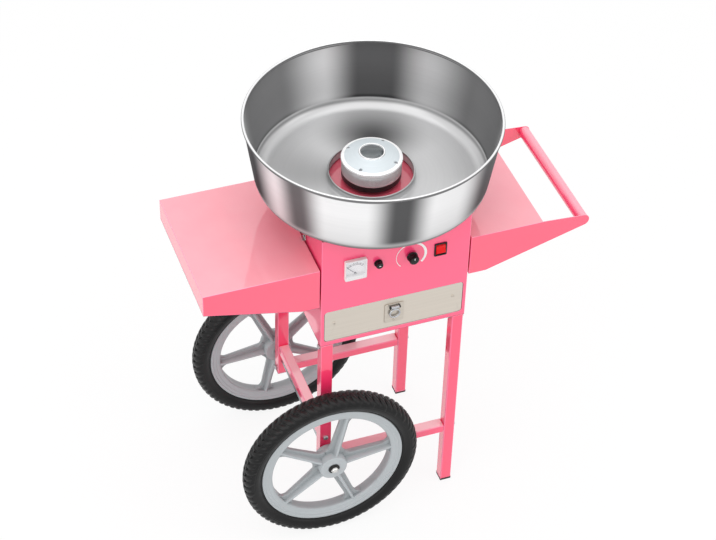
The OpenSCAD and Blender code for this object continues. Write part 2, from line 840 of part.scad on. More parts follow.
// Mains socket in the rear cover, drawn with local Z pointing out of the back
module power_inlet() {
    body_w = inlet_w - 2 * inlet_rim_x - 2 * hole_fit;
    body_h = inlet_h - 2 * inlet_rim_z - 2 * hole_fit;
    socket_floor = inlet_flange - inlet_socket;
    color(black) translate([inlet_x, back_y, inlet_z]) rotate([-90, 0, 0]) {
        difference() {
            union() {
                slab(inlet_w, inlet_h, inlet_corner, inlet_flange);
                translate([-body_w / 2, -body_h / 2, -inlet_depth]) cube([body_w, body_h, inlet_depth]);
            }
            translate([-body_w / 2 + socket_side, -body_h / 2 + socket_end, socket_floor])
                cube([body_w - 2 * socket_side, body_h - 2 * socket_end, inlet_socket + cut]);
        }
        for (x = [-prong_pitch, 0, prong_pitch])
            translate([x - prong_w / 2, -prong_h / 2, socket_floor - cut])
                cube([prong_w, prong_h, inlet_socket - prong_short]);
    }
}

// Bowl
module bowl() {
    rim_z = bowl_z + bowl_h - rim_bead;
    rim_wall = bowl_r - rim_bead;
    mid_r = bowl_foot_r - bowl_corner;
    mid_z = bowl_z + bowl_corner;
    lean = atan((rim_wall - bowl_foot_r) / (rim_z - mid_z));
    outer = concat([[rim_wall, rim_z]], arc(mid_r, mid_z, bowl_corner, -lean, -90, arc_steps));
    inner = concat(arc(mid_r, mid_z, bowl_corner - bowl_t, -90, -lean, arc_steps),
        [[rim_wall - bowl_t, rim_z]]);
    collar = [[bowl_hole_r, bowl_z], [bowl_hole_r, bowl_z + collar_h],
        [bowl_hole_r + bowl_t, bowl_z + collar_h], [bowl_hole_r + bowl_t, bowl_z + bowl_t]];
    color(steel) {
        rotate_extrude() {
            polygon(concat(outer, collar, inner));
            translate([rim_wall, rim_z]) circle(r = rim_bead);
            translate([bowl_hole_r + bowl_t, bowl_z + collar_h]) circle(r = collar_bead);
        }
        for (s = [0, 180]) rotate([0, 0, s]) {
            block(-catch_in - catch_t, -catch_in, -clip_y - catch_w / 2, -clip_y + catch_w / 2,
                clip_z + peg_reach - catch_w / 2, bowl_z + bowl_t / 2);
            rod_x(peg_r, -catch_in - catch_t / 2, -clip_in - peg_gap, -clip_y, clip_z + peg_reach);
        }
    }
}
module bowl_gasket() {
    color(rubber) translate([0, 0, top_z]) difference() {
        cylinder(r = gasket_r + gasket_w, h = gasket_t);
        translate([0, 0, -cut]) cylinder(r = gasket_r, h = gasket_t + 2 * cut);
    }
}
// Swivel clip drawn on the left side: its curved slot hooks the peg under the bowl
module bowl_clip() {
    arm_top = peg_reach + clip_head;
    slot = peg_r + slide_fit;
    color(steel) translate([-clip_out, -clip_y, clip_z]) difference() {
        union() {
            block(0, clip_t, -clip_w / 2, clip_w / 2, -clip_tail, arm_top);
            block(-clip_tab, clip_t, -clip_w / 2, clip_w / 2, -clip_tail, -clip_tail + clip_t);
        }
        rod_x(stud_r + run_fit, -cut, clip_t + cut, 0, 0);
        rod_x(slot, -cut, clip_t + cut, 0, peg_reach);
        translate([-cut, 0, 0]) rotate([90, 0, 90]) rotate([0, 0, 90]) rotate_extrude(angle = clip_swing)
            translate([peg_reach - slot, 0]) square([2 * slot, clip_t + 2 * cut]);
    }
}
module left_clip() { bowl_clip(); }
module right_clip() { rotate([0, 0, 180]) bowl_clip(); }

// Motor
module motor_plate() {
    color(zinc) difference() {
        union() {
            block(-plate_half, plate_half, -plate_half, plate_half, plate_z, plate_z + plate_t);
            for (x = [-1, 1], y = [-1, 1])
                translate([x * stud_pitch, y * stud_pitch, plate_z])
                    cylinder(r = mount_stud_r, h = top_z - plate_z);
        }
        translate([0, 0, plate_z - cut]) cylinder(r = slip_r + slip_room, h = plate_t + 2 * cut);
    }
}
module motor_dampers() {
    color(rubber) for (x = [-1, 1], y = [-1, 1])
        translate([x * stud_pitch, y * stud_pitch, deck_z]) difference() {
            cylinder(r = mount_r, h = damper_h);
            translate([0, 0, -cut]) cylinder(r = mount_stud_r + hole_fit, h = damper_h + 2 * cut);
        }
}
module motor_housing() {
    color(zinc) translate([0, 0, motor_z]) difference() {
        cylinder(r = motor_r, h = motor_l);
        translate([0, 0, motor_end]) cylinder(r = stator_r, h = motor_l - 2 * motor_end);
        translate([0, 0, -cut]) cylinder(r = shaft_r + run_fit, h = motor_l + 2 * cut);
    }
}
module brush_gear() {
    holder_x = slip_r + brush_reach;
    color(brass) {
        block(holder_x, holder_x + brush_l, -brush_w / 2, brush_w / 2, deck_z, deck_z + damper_h - brush_gap);
        for (z = slip_z)
            block(slip_r + slide_fit, holder_x + cut, -brush_tip / 2, brush_tip / 2, z, z + slip_h);
    }
}

// Spinning head
module spinner_shaft() {
    color(steel) {
        translate([0, 0, motor_z + shaft_foot])
            cylinder(r = shaft_r, h = base_z + shaft_seat - motor_z - shaft_foot);
        translate([0, 0, motor_z + motor_end + rotor_gap])
            cylinder(r = rotor_r, h = motor_l - 2 * motor_end - 2 * rotor_gap);
    }
}
module slip_rings() {
    color(brass) for (z = slip_z)
        translate([0, 0, z]) difference() {
            cylinder(r = slip_r, h = slip_h);
            translate([0, 0, -cut]) cylinder(r = shaft_r + seat_fit, h = slip_h + 2 * cut);
        }
}
module head_base() {
    color(black) translate([0, 0, base_z]) difference() {
        cylinder(r = band_r, h = base_h);
        translate([0, 0, -cut]) cylinder(r = shaft_r + seat_fit, h = shaft_seat + seat_fit + cut);
        translate([0, 0, base_h - groove_d]) difference() {
            cylinder(r = heater_out + heater_gap, h = groove_d + cut);
            translate([0, 0, -cut]) cylinder(r = heater_in - heater_gap, h = groove_d + 3 * cut);
        }
        for (a = screw_turns) rotate([0, 0, a])
            translate([screw_ring_r, 0, base_h - screw_bite])
                cylinder(r = screw_r + seat_fit, h = screw_bite + cut);
    }
}
module heater_element() {
    color(brass) translate([0, 0, base_z + base_h - groove_d]) difference() {
        cylinder(r = heater_out, h = heater_h);
        translate([0, 0, -cut]) cylinder(r = heater_in, h = heater_h + 2 * cut);
    }
}
module floss_band() {
    color(steel) translate([0, 0, band_z]) difference() {
        cylinder(r = band_r, h = band_h);
        translate([0, 0, -cut]) cylinder(r = band_r - band_t, h = band_h + 2 * cut);
    }
}
module head_cover() {
    top = edge_h + cone_h;
    lap_r = band_r - band_t - cover_lap;
    color(alloy) translate([0, 0, cover_z]) difference() {
        rotate_extrude() polygon([
            [lap_r, 0], [head_r, 0], [head_r, edge_h - edge_break], [head_r - edge_break, edge_h],
            [sugar_r + lip_ring, top], [sugar_r + lip_ring, top + lip_t], [sugar_r, top + lip_t],
            [sugar_r, top - cover_t], [lap_r, edge_h - cover_t]]);
        for (a = screw_turns) rotate([0, 0, a]) translate([screw_ring_r, 0, 0]) {
            cylinder(r = screw_r + hole_fit, h = top);
            translate([0, 0, edge_h]) cylinder(r = screw_head_r + hole_fit, h = top);
        }
    }
}
module head_screws() {
    deep = band_h + edge_h + screw_bite;
    color(zinc) for (a = screw_turns) rotate([0, 0, a])
        translate([screw_ring_r, 0, cover_z + edge_h]) pan_screw(screw_r, screw_head_r, screw_seat, deep);
}

// Drawer
module drawer_front() {
    color(beige) difference() {
        on_front(0, box_y, drawer_mid) slab(drawer_w, drawer_h, drawer_corner, drawer_t);
        for (x = [-drawer_screw_x, drawer_screw_x])
            rod_y(drawer_screw_r + hole_fit, x, front_y - cut, box_y + cut, drawer_screw_z);
        rod_y(drawer_screw_r + hole_fit, 0, front_y - cut, box_y + cut, pull_screw_z);
    }
}
module drawer_box() {
    color(zinc) difference() {
        union() {
            block(-box_x, box_x, box_y, box_back, box_z, box_top);
            block(-lip_x, lip_x, runner_y, box_back, box_top - sheet, box_top);
        }
        block(-box_x + sheet, box_x - sheet, box_y + sheet, box_back - sheet, box_z + sheet, box_top + cut);
        for (x = [-drawer_screw_x, drawer_screw_x])
            rod_y(drawer_screw_r + hole_fit, x, box_y - cut, box_y + sheet + cut, drawer_screw_z);
        rod_y(drawer_screw_r + hole_fit, 0, box_y - cut, box_y + sheet + cut, pull_screw_z);
    }
}
module drawer_screws() {
    color(zinc) {
        for (x = [-drawer_screw_x, drawer_screw_x])
            on_front(x, face_y, drawer_screw_z)
                pan_screw(drawer_screw_r, drawer_screw_head, drawer_screw_t, drawer_t + sheet + screw_end);
        on_front(0, face_y - pull_t, pull_screw_z)
            pan_screw(drawer_screw_r, pull_screw_head, pull_screw_t, pull_t + drawer_t + sheet + screw_end);
    }
}
module pull_plate() {
    ear_x = sleeve_w / 2 + slide_fit;
    ear_y = pin_y - ear_r;
    color(steel) difference() {
        union() {
            on_front(0, face_y, drawer_mid) slab(pull_w, pull_h, pull_corner, pull_t);
            for (s = [0, 1]) mirror([s, 0, 0]) {
                block(ear_x, ear_x + ear_t, pin_y, face_y - pull_t, pin_z - ear_r, pin_z + ear_r);
                rod_x(ear_r, ear_x, ear_x + ear_t, pin_y, pin_z);
            }
            rod_x(pin_r, -ear_x - ear_t, ear_x + ear_t, pin_y, pin_z);
        }
        rod_y(drawer_screw_r + hole_fit, 0, ear_y, face_y + cut, pull_screw_z);
    }
}
module pull_ring() {
    color(steel) difference() {
        union() {
            rod_x(sleeve_r, -sleeve_w / 2, sleeve_w / 2, pin_y, pin_z);
            block(-neck_w / 2, neck_w / 2, pin_y - neck_t / 2, pin_y + neck_t / 2,
                ring_z + ring_r, pin_z - pin_r - cut);
            on_front(0, pin_y, ring_z) rotate_extrude() translate([ring_r, 0]) circle(r = ring_wire);
        }
        rod_x(pin_r + run_fit, -sleeve_w, sleeve_w, pin_y, pin_z);
    }
}

// Control panel
module meter_case() {
    color(white) difference() {
        union() {
            on_panel(meter_x) slab(meter_w, meter_h, meter_corner, meter_proud);
            on_panel(meter_x) translate([0, 0, -meter_can_l])
                cylinder(r = meter_can_r, h = meter_can_l + cut);
        }
        on_panel(meter_x)
            translate([-pocket_w / 2, -meter_h / 2 + meter_band, meter_proud - pocket_d])
                cube([pocket_w, pocket_h, pocket_d + cut]);
    }
    color(white) on_front(meter_x, front_y, pivot_z) translate([0, 0, meter_proud - pocket_d])
        cylinder(r = needle_pin_r, h = pocket_d - lens_t);
}
module meter_dial() {
    dial_w = pocket_w - 2 * hole_fit;
    dial_h = pocket_h - 2 * hole_fit;
    color(white) difference() {
        on_panel(meter_x)
            translate([-dial_w / 2, -meter_h / 2 + meter_band + hole_fit, meter_proud - pocket_d])
                cube([dial_w, dial_h, dial_t]);
        on_front(meter_x, front_y, pivot_z) cylinder(r = needle_pin_r + run_fit, h = meter_proud);
    }
}
module meter_needle() {
    color(black) on_front(meter_x, front_y, pivot_z) translate([0, 0, dial_front + slide_fit]) difference() {
        union() {
            cylinder(r = needle_hub_r, h = needle_hub_t);
            rotate([0, 0, 90 + needle_rest]) translate([0, -needle_t / 2, needle_lift])
                cube([needle_l, needle_t, needle_t]);
        }
        translate([0, 0, -cut]) cylinder(r = needle_pin_r + run_fit, h = needle_hub_t + 2 * cut);
    }
}
module meter_lens() {
    color(white, clear) on_panel(meter_x) translate([0, 0, meter_proud])
        slab(meter_w, meter_h, meter_corner, lens_t);
}
module fuse_holder() {
    color(black) on_panel(fuse_x) difference() {
        union() {
            cylinder(r = fuse_r + fuse_rim, h = fuse_flange);
            translate([0, 0, -sheet - fuse_l]) cylinder(r = fuse_body_r, h = fuse_l + sheet + cut);
            translate([0, 0, -sheet - nut_t]) cylinder(r = fuse_body_r + fuse_nut, h = nut_t, $fn = hex);
        }
        translate([0, 0, -fuse_l + fuse_floor]) cylinder(r = fuse_bore, h = fuse_l + fuse_flange + cut);
    }
}
module fuse_cap() {
    color(black) on_panel(fuse_x) translate([0, 0, fuse_flange + slide_fit]) difference() {
        union() {
            cylinder(r = fuse_r, h = fuse_cap_l);
            translate([0, 0, -fuse_l / 2]) cylinder(r = fuse_bore - run_fit, h = fuse_l / 2 + cut);
        }
        translate([0, 0, fuse_cap_l]) cube([2 * fuse_r + cut, fuse_slot_w, 2 * fuse_slot_d], center = true);
    }
}
module heat_control() {
    back = -sheet - pot_l;
    color(black) on_panel(knob_x) difference() {
        union() {
            translate([0, 0, back]) cylinder(r = pot_r, h = pot_l);
            translate([0, 0, -sheet - cut]) cylinder(r = bush_r, h = sheet + cut + bush_proud);
            translate([-board_w / 2, -board_h / 2, back - board_t]) cube([board_w, board_h, board_t]);
        }
        translate([0, 0, back + stem_floor]) cylinder(r = stem_r + run_fit, h = pot_l + sheet + bush_proud);
    }
}
// Crescent scale that widens towards the hot end of the knob's turn and is open below
module dial_ring() {
    inner_r = dial_r - (ring_thin + ring_thick) / 2;
    gap_x = 2 * dial_r * sin(ring_gap_angle);
    gap_y = 2 * dial_r * cos(ring_gap_angle);
    color(white) on_panel(knob_x) linear_extrude(ring_t) difference() {
        circle(r = dial_r);
        translate([(ring_thin - ring_thick) / 2, 0]) circle(r = inner_r);
        polygon([[0, 0], [-gap_x, -gap_y], [gap_x, -gap_y]]);
    }
}
module control_knob() {
    sunk = bush_proud + sheet + pot_l / 2;
    color(black) on_panel(knob_x) translate([0, 0, bush_proud + slide_fit]) difference() {
        union() {
            cylinder(r = knob_r, h = knob_skirt_t);
            translate([0, 0, knob_skirt_t]) cylinder(r = knob_r - knob_step, h = knob_l - knob_skirt_t);
            translate([0, 0, -sunk]) cylinder(r = stem_r, h = sunk + cut);
        }
        translate([-knob_mark_w / 2, knob_r - knob_mark_l, knob_l - knob_mark_d])
            cube([knob_mark_w, knob_mark_l, knob_mark_d + cut]);
    }
}
module switch_housing() {
    color(black) on_panel(switch_x) difference() {
        union() {
            slab(switch_w, switch_h, bezel_corner, bezel_t);
            translate([0, 0, -switch_depth / 2])
                cube([switch_neck - 2 * hole_fit, 2 * switch_body, switch_depth], center = true);
        }
        translate([0, 0, -drum_y]) rotate([0, 90, 0])
            cylinder(r = drum_r + slide_fit, h = rocker_w + 2 * slide_fit, center = true);
        translate([0, 0, bezel_t])
            cube([rocker_w + 2 * slide_fit, 2 * (drum_r + slide_fit), 2 * (drum_y + bezel_t)], center = true);
    }
}
module rocker() {
    reach = 2 * drum_r;
    color(red) on_panel(switch_x) translate([0, 0, -drum_y]) rotate([-rocker_tilt, 0, 0]) difference() {
        rotate([0, 90, 0]) cylinder(r = drum_r, h = rocker_w, center = true);
        for (s = [-1, 1]) translate([0, 0, rocker_proud]) rotate([s * rocker_tilt, 0, 0])
            translate([-reach / 2, s > 0 ? 0 : -reach, 0]) cube(reach);
    }
}

centred() cabinet_shell();
centred() cabinet_floor();
centred() top_plate();
centred() rear_cover();
centred() drawer_shelf();
centred() drawer_runners();
centred() front_left_leg();
centred() rear_left_leg();
centred() front_right_leg();
centred() rear_right_leg();
centred() leg_feet();
centred() front_stretcher();
centred() rear_stretcher();
centred() side_brace();
centred() frame_bolts();
centred() axle();
centred() axle_spacers();
centred() axle_nuts();
centred() front_tyre();
centred() front_rim();
centred() front_bush();
centred() rear_tyre();
centred() rear_rim();
centred() rear_bush();
centred() left_tray();
centred() right_tray();
centred() push_handle();
centred() cabinet_fasteners();
centred() power_inlet();
centred() bowl();
centred() bowl_gasket();
centred() left_clip();
centred() right_clip();
centred() motor_plate();
centred() motor_dampers();
centred() motor_housing();
centred() brush_gear();
centred() spinner_shaft();
centred() slip_rings();
centred() head_base();
centred() heater_element();
centred() floss_band();
centred() head_cover();
centred() head_screws();
centred() drawer_front();
centred() drawer_box();
centred() drawer_screws();
centred() pull_plate();
centred() pull_ring();
centred() meter_case();
centred() meter_dial();
centred() meter_needle();
centred() meter_lens();
centred() fuse_holder();
centred() fuse_cap();
centred() heat_control();
centred() dial_ring();
centred() control_knob();
centred() switch_housing();
centred() rocker();
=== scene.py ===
"""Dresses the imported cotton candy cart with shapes, finishes, a studio and a camera."""

import json
import logging
import math
from dataclasses import dataclass
from enum import Enum
from functools import cache
from itertools import product
from typing import Callable, Optional, Sequence, Union

import bmesh
import bpy
from mathutils import Matrix, Vector

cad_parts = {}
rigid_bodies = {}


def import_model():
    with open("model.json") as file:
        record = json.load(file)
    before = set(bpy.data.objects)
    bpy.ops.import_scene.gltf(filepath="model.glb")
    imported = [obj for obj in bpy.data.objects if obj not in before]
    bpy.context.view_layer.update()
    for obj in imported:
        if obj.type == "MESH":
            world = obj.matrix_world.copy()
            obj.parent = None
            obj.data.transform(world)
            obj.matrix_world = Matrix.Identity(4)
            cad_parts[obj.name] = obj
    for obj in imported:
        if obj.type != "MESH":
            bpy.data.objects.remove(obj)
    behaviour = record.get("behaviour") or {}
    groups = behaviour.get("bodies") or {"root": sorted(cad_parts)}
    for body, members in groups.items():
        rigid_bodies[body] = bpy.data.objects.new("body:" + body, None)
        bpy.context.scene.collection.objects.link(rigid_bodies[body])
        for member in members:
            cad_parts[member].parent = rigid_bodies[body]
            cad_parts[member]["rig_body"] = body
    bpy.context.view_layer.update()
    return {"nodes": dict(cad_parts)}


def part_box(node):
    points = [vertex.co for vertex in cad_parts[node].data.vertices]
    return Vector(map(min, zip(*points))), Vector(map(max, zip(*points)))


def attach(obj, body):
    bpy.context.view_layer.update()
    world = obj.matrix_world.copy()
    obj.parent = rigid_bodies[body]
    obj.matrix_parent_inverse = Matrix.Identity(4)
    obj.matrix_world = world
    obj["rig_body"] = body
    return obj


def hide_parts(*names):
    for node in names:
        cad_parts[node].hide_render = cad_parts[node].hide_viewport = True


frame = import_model()
NODES = frame["nodes"]
LOG = logging.getLogger("cart")

MM = 1000.0
QUARTER = math.pi / 2
BOTH_SIDES = (-1.0, 1.0)

Pair = tuple[float, float]
Triple = tuple[float, float, float]
Four = tuple[float, float, float, float]
Colour = Triple
Place = Optional[Matrix]
Mesh = bpy.types.Mesh
Node = bpy.types.Node
Socket = bpy.types.NodeSocket
Sockets = bpy.types.NodeOutputs
Tree = bpy.types.NodeTree
Setting = Union[float, int, str, Colour, bpy.types.ID, Socket]
Spot = tuple[Vector, Vector]
Row = tuple[float, float, int]


def linear(red: int, green: int, blue: int) -> Colour:
    """Turns a colour as it looks on a screen into linear values.

    Args:
        red: Red from 0 to 255.
        green: Green from 0 to 255.
        blue: Blue from 0 to 255.

    Returns:
        The three linear values from 0 to 1, by the sRGB curve.
    """
    parts = [value / 255 for value in (red, green, blue)]
    out = [p / 12.92 if p <= 0.04045 else ((p + 0.055) / 1.055) ** 2.4 for p in parts]
    return out[0], out[1], out[2]


def scaled(colour: Colour, share: float) -> Colour:
    """A colour times a share."""
    return colour[0] * share, colour[1] * share, colour[2] * share


def middle_x() -> float:
    """Row-frame X of the cabinet's middle, in metres."""
    low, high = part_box("top_plate")
    return (low.x + high.x) / 2


CENTRE_X = middle_x()


def in_row(place: Matrix) -> Matrix:
    """Moves a placing from millimetres about the cabinet's middle into the row frame.

    Args:
        place: Turn and place in millimetres.

    Returns:
        The same turn with its place in metres in the row frame.
    """
    moved = place.copy()
    moved.translation = place.translation / MM + Vector((CENTRE_X, 0, 0))
    return moved


def facing_front(x: float, y: float, z: float) -> Matrix:
    """Placing in millimetres whose local Z points out of the front, with local Y upwards."""
    return Matrix.Translation((x, y, z)) @ Matrix.Rotation(QUARTER, 4, "X")


def circle(radius: float, height: float, count: int) -> list[Triple]:
    """Points around local Z at a height."""
    turns = [math.tau * k / count for k in range(count)]
    return [(radius * math.cos(a), radius * math.sin(a), height) for a in turns]


def arc(centre: Pair, radius: float, start: float, stop: float, steps: int) -> list[Pair]:
    """Points along an arc, from one angle in radians to another."""
    turns = [start + (stop - start) * k / steps for k in range(steps + 1)]
    return [(centre[0] + radius * math.cos(a), centre[1] + radius * math.sin(a)) for a in turns]


def between(first: Pair, last: Pair, parts: int) -> list[Pair]:
    """Points that divide a line into equal parts, without its ends."""
    start, way = Vector(first), Vector(last) - Vector(first)
    return [tuple(start + way * (k / parts)) for k in range(1, parts)]


def rectangle(left: float, right: float, low: float, high: float) -> list[Pair]:
    """Corners of a rectangle."""
    return [(left, low), (right, low), (right, high), (left, high)]


def mirrored(corners: Sequence[Triple], middle: Triple) -> list[Triple]:
    """Corners with their radii, then one on the middle plane, then the mirrored ones."""
    upper = [(x, -z, radius) for x, z, radius in reversed(corners)]
    return [*corners, middle, *upper]


def rounded(corners: Sequence[Triple], steps: int = 6) -> list[Pair]:
    """Rounds the corners of a closed outline.

    Args:
        corners: Corner points, each with its radius.
        steps: Faces along each rounded corner.

    Returns:
        The outline's points.
    """
    straight, side_share = math.pi - 1e-3, 0.49
    out: list[Pair] = []
    for i, (x, y, radius) in enumerate(corners):
        here = Vector((x, y))
        back = Vector(corners[i - 1][:2]) - here
        ahead = Vector(corners[(i + 1) % len(corners)][:2]) - here
        angle = back.angle(ahead)
        if radius <= 0 or angle > straight:
            out.append((x, y))
            continue
        room = side_share * min(back.length, ahead.length)
        reach = min(radius / math.tan(angle / 2), room)
        radius = reach * math.tan(angle / 2)
        way = (back.normalized() + ahead.normalized()).normalized()
        centre = here + way * (radius / math.sin(angle / 2))
        first = here + back.normalized() * reach - centre
        last = here + ahead.normalized() * reach - centre
        turn = -first.angle_signed(last)
        for k in range(steps + 1):
            c, s = math.cos(turn * k / steps), math.sin(turn * k / steps)
            dx, dy = first.x * c - first.y * s, first.x * s + first.y * c
            out.append((centre.x + dx, centre.y + dy))
    return out


def smooth(data: Mesh, angle: float = 32.0) -> None:
    """Shades a mesh smooth except across edges over an angle in degrees."""
    data.shade_smooth()
    data.set_sharp_from_angle(angle=math.radians(angle))


class Shape:
    """Closed shells in millimetres, gathered for one mesh."""

    def __init__(self) -> None:
        """Starts with no points."""
        self.points: list[Vector] = []
        self.faces: list[list[int]] = []

    def add(
        self, points: Sequence[Triple], faces: Sequence[Sequence[int]], place: Place = None
    ) -> "Shape":
        """Adds one shell.

        Args:
            points: The shell's points.
            faces: Faces as numbers of those points.
            place: Turn and place of the shell.

        Returns:
            This shape.
        """
        start = len(self.points)
        place = place or Matrix.Identity(4)
        self.points += [place @ Vector(p) for p in points]
        self.faces += [[start + i for i in face] for face in faces]
        return self

    def lathe(self, profile: Sequence[Pair], turns: int = 128, place: Place = None) -> "Shape":
        """Turns a profile about local Z.

        Args:
            profile: Radius and height of each corner. It is a ring unless it starts on the axis.
            turns: Faces around.
            place: Turn and place of the shell.

        Returns:
            This shape.
        """
        axis_r = 1e-6
        points: list[Triple] = []
        rings: list[list[int]] = []
        for radius, height in profile:
            first = len(points)
            points += [(0.0, 0.0, height)] if radius < axis_r else circle(radius, height, turns)
            rings.append(list(range(first, len(points))))
        pairs = list(zip(rings, rings[1:]))
        if len(rings[0]) > 1:
            pairs.append((rings[-1], rings[0]))
        faces: list[tuple[int, ...]] = []
        for (low, high), i in product(pairs, range(turns)):
            j = (i + 1) % turns
            if len(low) == 1:
                faces.append((low[0], high[j], high[i]))
            elif len(high) == 1:
                faces.append((low[i], low[j], high[0]))
            else:
                faces.append((low[i], low[j], high[j], high[i]))
        return self.add(points, faces, place)

    def rod(self, radius: float, low: float, high: float, turns: int) -> "Shape":
        """Adds a cylinder on local Z."""
        return self.lathe([(0, low), (radius, low), (radius, high), (0, high)], turns)

    def sweep(self, sections: Sequence[Sequence[Triple]], place: Place = None) -> "Shape":
        """Joins sections of equally many points and closes both ends.

        Args:
            sections: The sections in order, each a ring of points.
            place: Turn and place of the shell.

        Returns:
            This shape.
        """
        size, last = len(sections[0]), len(sections) - 1
        points = [p for section in sections for p in section]
        faces: list[tuple[int, ...]] = [tuple(range(size))[::-1]]
        for k, i in product(range(last), range(size)):
            low, high, j = k * size, (k + 1) * size, (i + 1) % size
            faces.append((low + i, low + j, high + j, high + i))
        faces.append(tuple(range(last * size, (last + 1) * size)))
        return self.add(points, faces, place)

    def prism(
        self, outline: Sequence[Pair], low: float, high: float, place: Place = None
    ) -> "Shape":
        """Adds an outline drawn out along local Z between two heights."""
        return self.sweep([[(x, y, z) for x, y in outline] for z in (low, high)], place)

    def mesh(self, name: str, local: bool = False) -> Mesh:
        """Makes the mesh in metres.

        Args:
            name: Name of the mesh.
            local: True for a shape that is placed later, such as one that is repeated.

        Returns:
            The mesh with its faces outward.
        """
        data = bpy.data.meshes.new(name)
        shift = 0.0 if local else CENTRE_X
        points = [(p.x / MM + shift, p.y / MM, p.z / MM) for p in self.points]
        data.from_pydata(points, [], self.faces)
        work = bmesh.new()
        work.from_mesh(data)
        bmesh.ops.recalc_face_normals(work, faces=work.faces)
        work.to_mesh(data)
        work.free()
        smooth(data)
        return data


class Graph:
    """A node tree with short calls that add and join nodes."""

    def __init__(self, tree: Tree) -> None:
        """Keeps the tree to build in."""
        self.tree = tree

    def feed(self, node: Node, **inputs: Setting) -> None:
        """Sets or joins inputs of a node.

        Args:
            node: The node.
            inputs: Sockets by name, spaces as underscores, or as i0, i1 and so on by number.
        """
        for key, value in inputs.items():
            numbered = key[0] == "i" and key[1:].isdigit()
            socket = node.inputs[int(key[1:]) if numbered else key.replace("_", " ")]
            if isinstance(value, Socket):
                self.tree.links.new(value, socket)
            elif socket.type == "RGBA":
                socket.default_value = (*value, 1.0)
            else:
                socket.default_value = value

    def add(
        self, kind: str, settings: Optional[dict[str, object]] = None, **inputs: Setting
    ) -> Node:
        """Adds a node.

        Args:
            kind: Blender's type of node.
            settings: Properties of the node.
            inputs: Its inputs, as for feed.

        Returns:
            The node.
        """
        node = self.tree.nodes.new(kind)
        for key, value in (settings or {}).items():
            setattr(node, key, value)
        self.feed(node, **inputs)
        return node

    def calc(self, operation: str, *values: Setting) -> Socket:
        """Result of a math node, by Blender's name of the operation."""
        inputs = {f"i{k}": value for k, value in enumerate(values)}
        return self.add("ShaderNodeMath", {"operation": operation}, **inputs).outputs[0]

    def inverse(self, value: Setting) -> Socket:
        """One minus a value."""
        return self.calc("SUBTRACT", 1.0, value)

    def off(self, value: Setting, level: float) -> Socket:
        """Distance of a value from a level."""
        return self.calc("ABSOLUTE", self.calc("SUBTRACT", value, level))

    def ramp(
        self,
        value: Setting,
        ends: tuple[Setting, Setting],
        span: Pair = (0.0, 1.0),
        soft: bool = False,
    ) -> Socket:
        """Maps the range of a value onto another range.

        Args:
            value: The value.
            ends: Results at the ends of its range.
            span: The ends of its range.
            soft: True to start and stop gently.

        Returns:
            The result's socket.
        """
        node = self.add(
            "ShaderNodeMapRange", {"interpolation_type": "SMOOTHSTEP" if soft else "LINEAR"},
            Value=value, From_Min=span[0], From_Max=span[1], To_Min=ends[0], To_Max=ends[1],
        )
        return node.outputs[0]

    def mix(self, factor: Setting, first: Setting, second: Setting) -> Socket:
        """Mix of two colours by the share of the second."""
        settings = {"data_type": "RGBA"}
        return self.add("ShaderNodeMix", settings, i0=factor, i6=first, i7=second).outputs[2]

    def blend(self, factor: Setting, first: Setting, second: Setting) -> Socket:
        """Mix of two values by the share of the second."""
        settings = {"data_type": "FLOAT"}
        return self.add("ShaderNodeMix", settings, i0=factor, i2=first, i3=second).outputs[0]

    def noise(self, where: Socket, scale: Setting, detail: float) -> Socket:
        """Value of a noise texture."""
        inputs = {"Vector": where, "Scale": scale, "Detail": detail}
        return self.add("ShaderNodeTexNoise", None, **inputs).outputs[0]

    def vector(self, x: Setting, y: Setting, z: Setting) -> Socket:
        """Joins three values into a vector."""
        return self.add("ShaderNodeCombineXYZ", None, X=x, Y=y, Z=z).outputs[0]

    def split(self, vector: Socket) -> Sockets:
        """The three parts of a vector."""
        return self.add("ShaderNodeSeparateXYZ", None, Vector=vector).outputs

    def normal(self) -> Sockets:
        """The three parts of the surface's normal."""
        return self.split(self.add("ShaderNodeNewGeometry").outputs["Normal"])


def open_group(
    name: str, kind: str, gives: dict[str, str], **takes: Union[str, int, float]
) -> tuple[Graph, Sockets, Node]:
    """Starts a node group.

    Args:
        name: Name of the group.
        kind: Blender's type of tree.
        gives: Socket types of the outputs by name.
        takes: Socket type or first value of each input by name, spaces as underscores.

    Returns:
        The group's graph, the sockets of its inputs and its output node.
    """
    tree = bpy.data.node_groups.new(name, kind)
    forms = {int: "Int", float: "Float"}
    for label, value in takes.items():
        form = forms.get(type(value), value)
        socket = tree.interface.new_socket(
            name=label.replace("_", " "), in_out="INPUT", socket_type=f"NodeSocket{form}"
        )
        if form != value:
            socket.default_value = value
    for label, form in gives.items():
        tree.interface.new_socket(name=label, in_out="OUTPUT", socket_type=f"NodeSocket{form}")
    graph = Graph(tree)
    return graph, graph.add("NodeGroupInput").outputs, graph.add("NodeGroupOutput")


@cache
def grain_group() -> Tree:
    """Shader group for uneven roughness (Value) and a fine bump (Height), made once.

    Returns:
        The tree.
    """
    graph, takes, gives = open_group(
        "Surface grain", "ShaderNodeTree", {"Value": "Float", "Height": "Float"},
        Vector="Vector", Patch_Scale=8.0, Grain_Scale=700.0, Low=0.2, High=0.3,
    )
    patch = graph.noise(takes["Vector"], takes["Patch Scale"], detail=4.0)
    fine = graph.noise(takes["Vector"], takes["Grain Scale"], detail=2.0)
    graph.feed(gives, Value=graph.ramp(patch, (takes["Low"], takes["High"])), Height=fine)
    return graph.tree


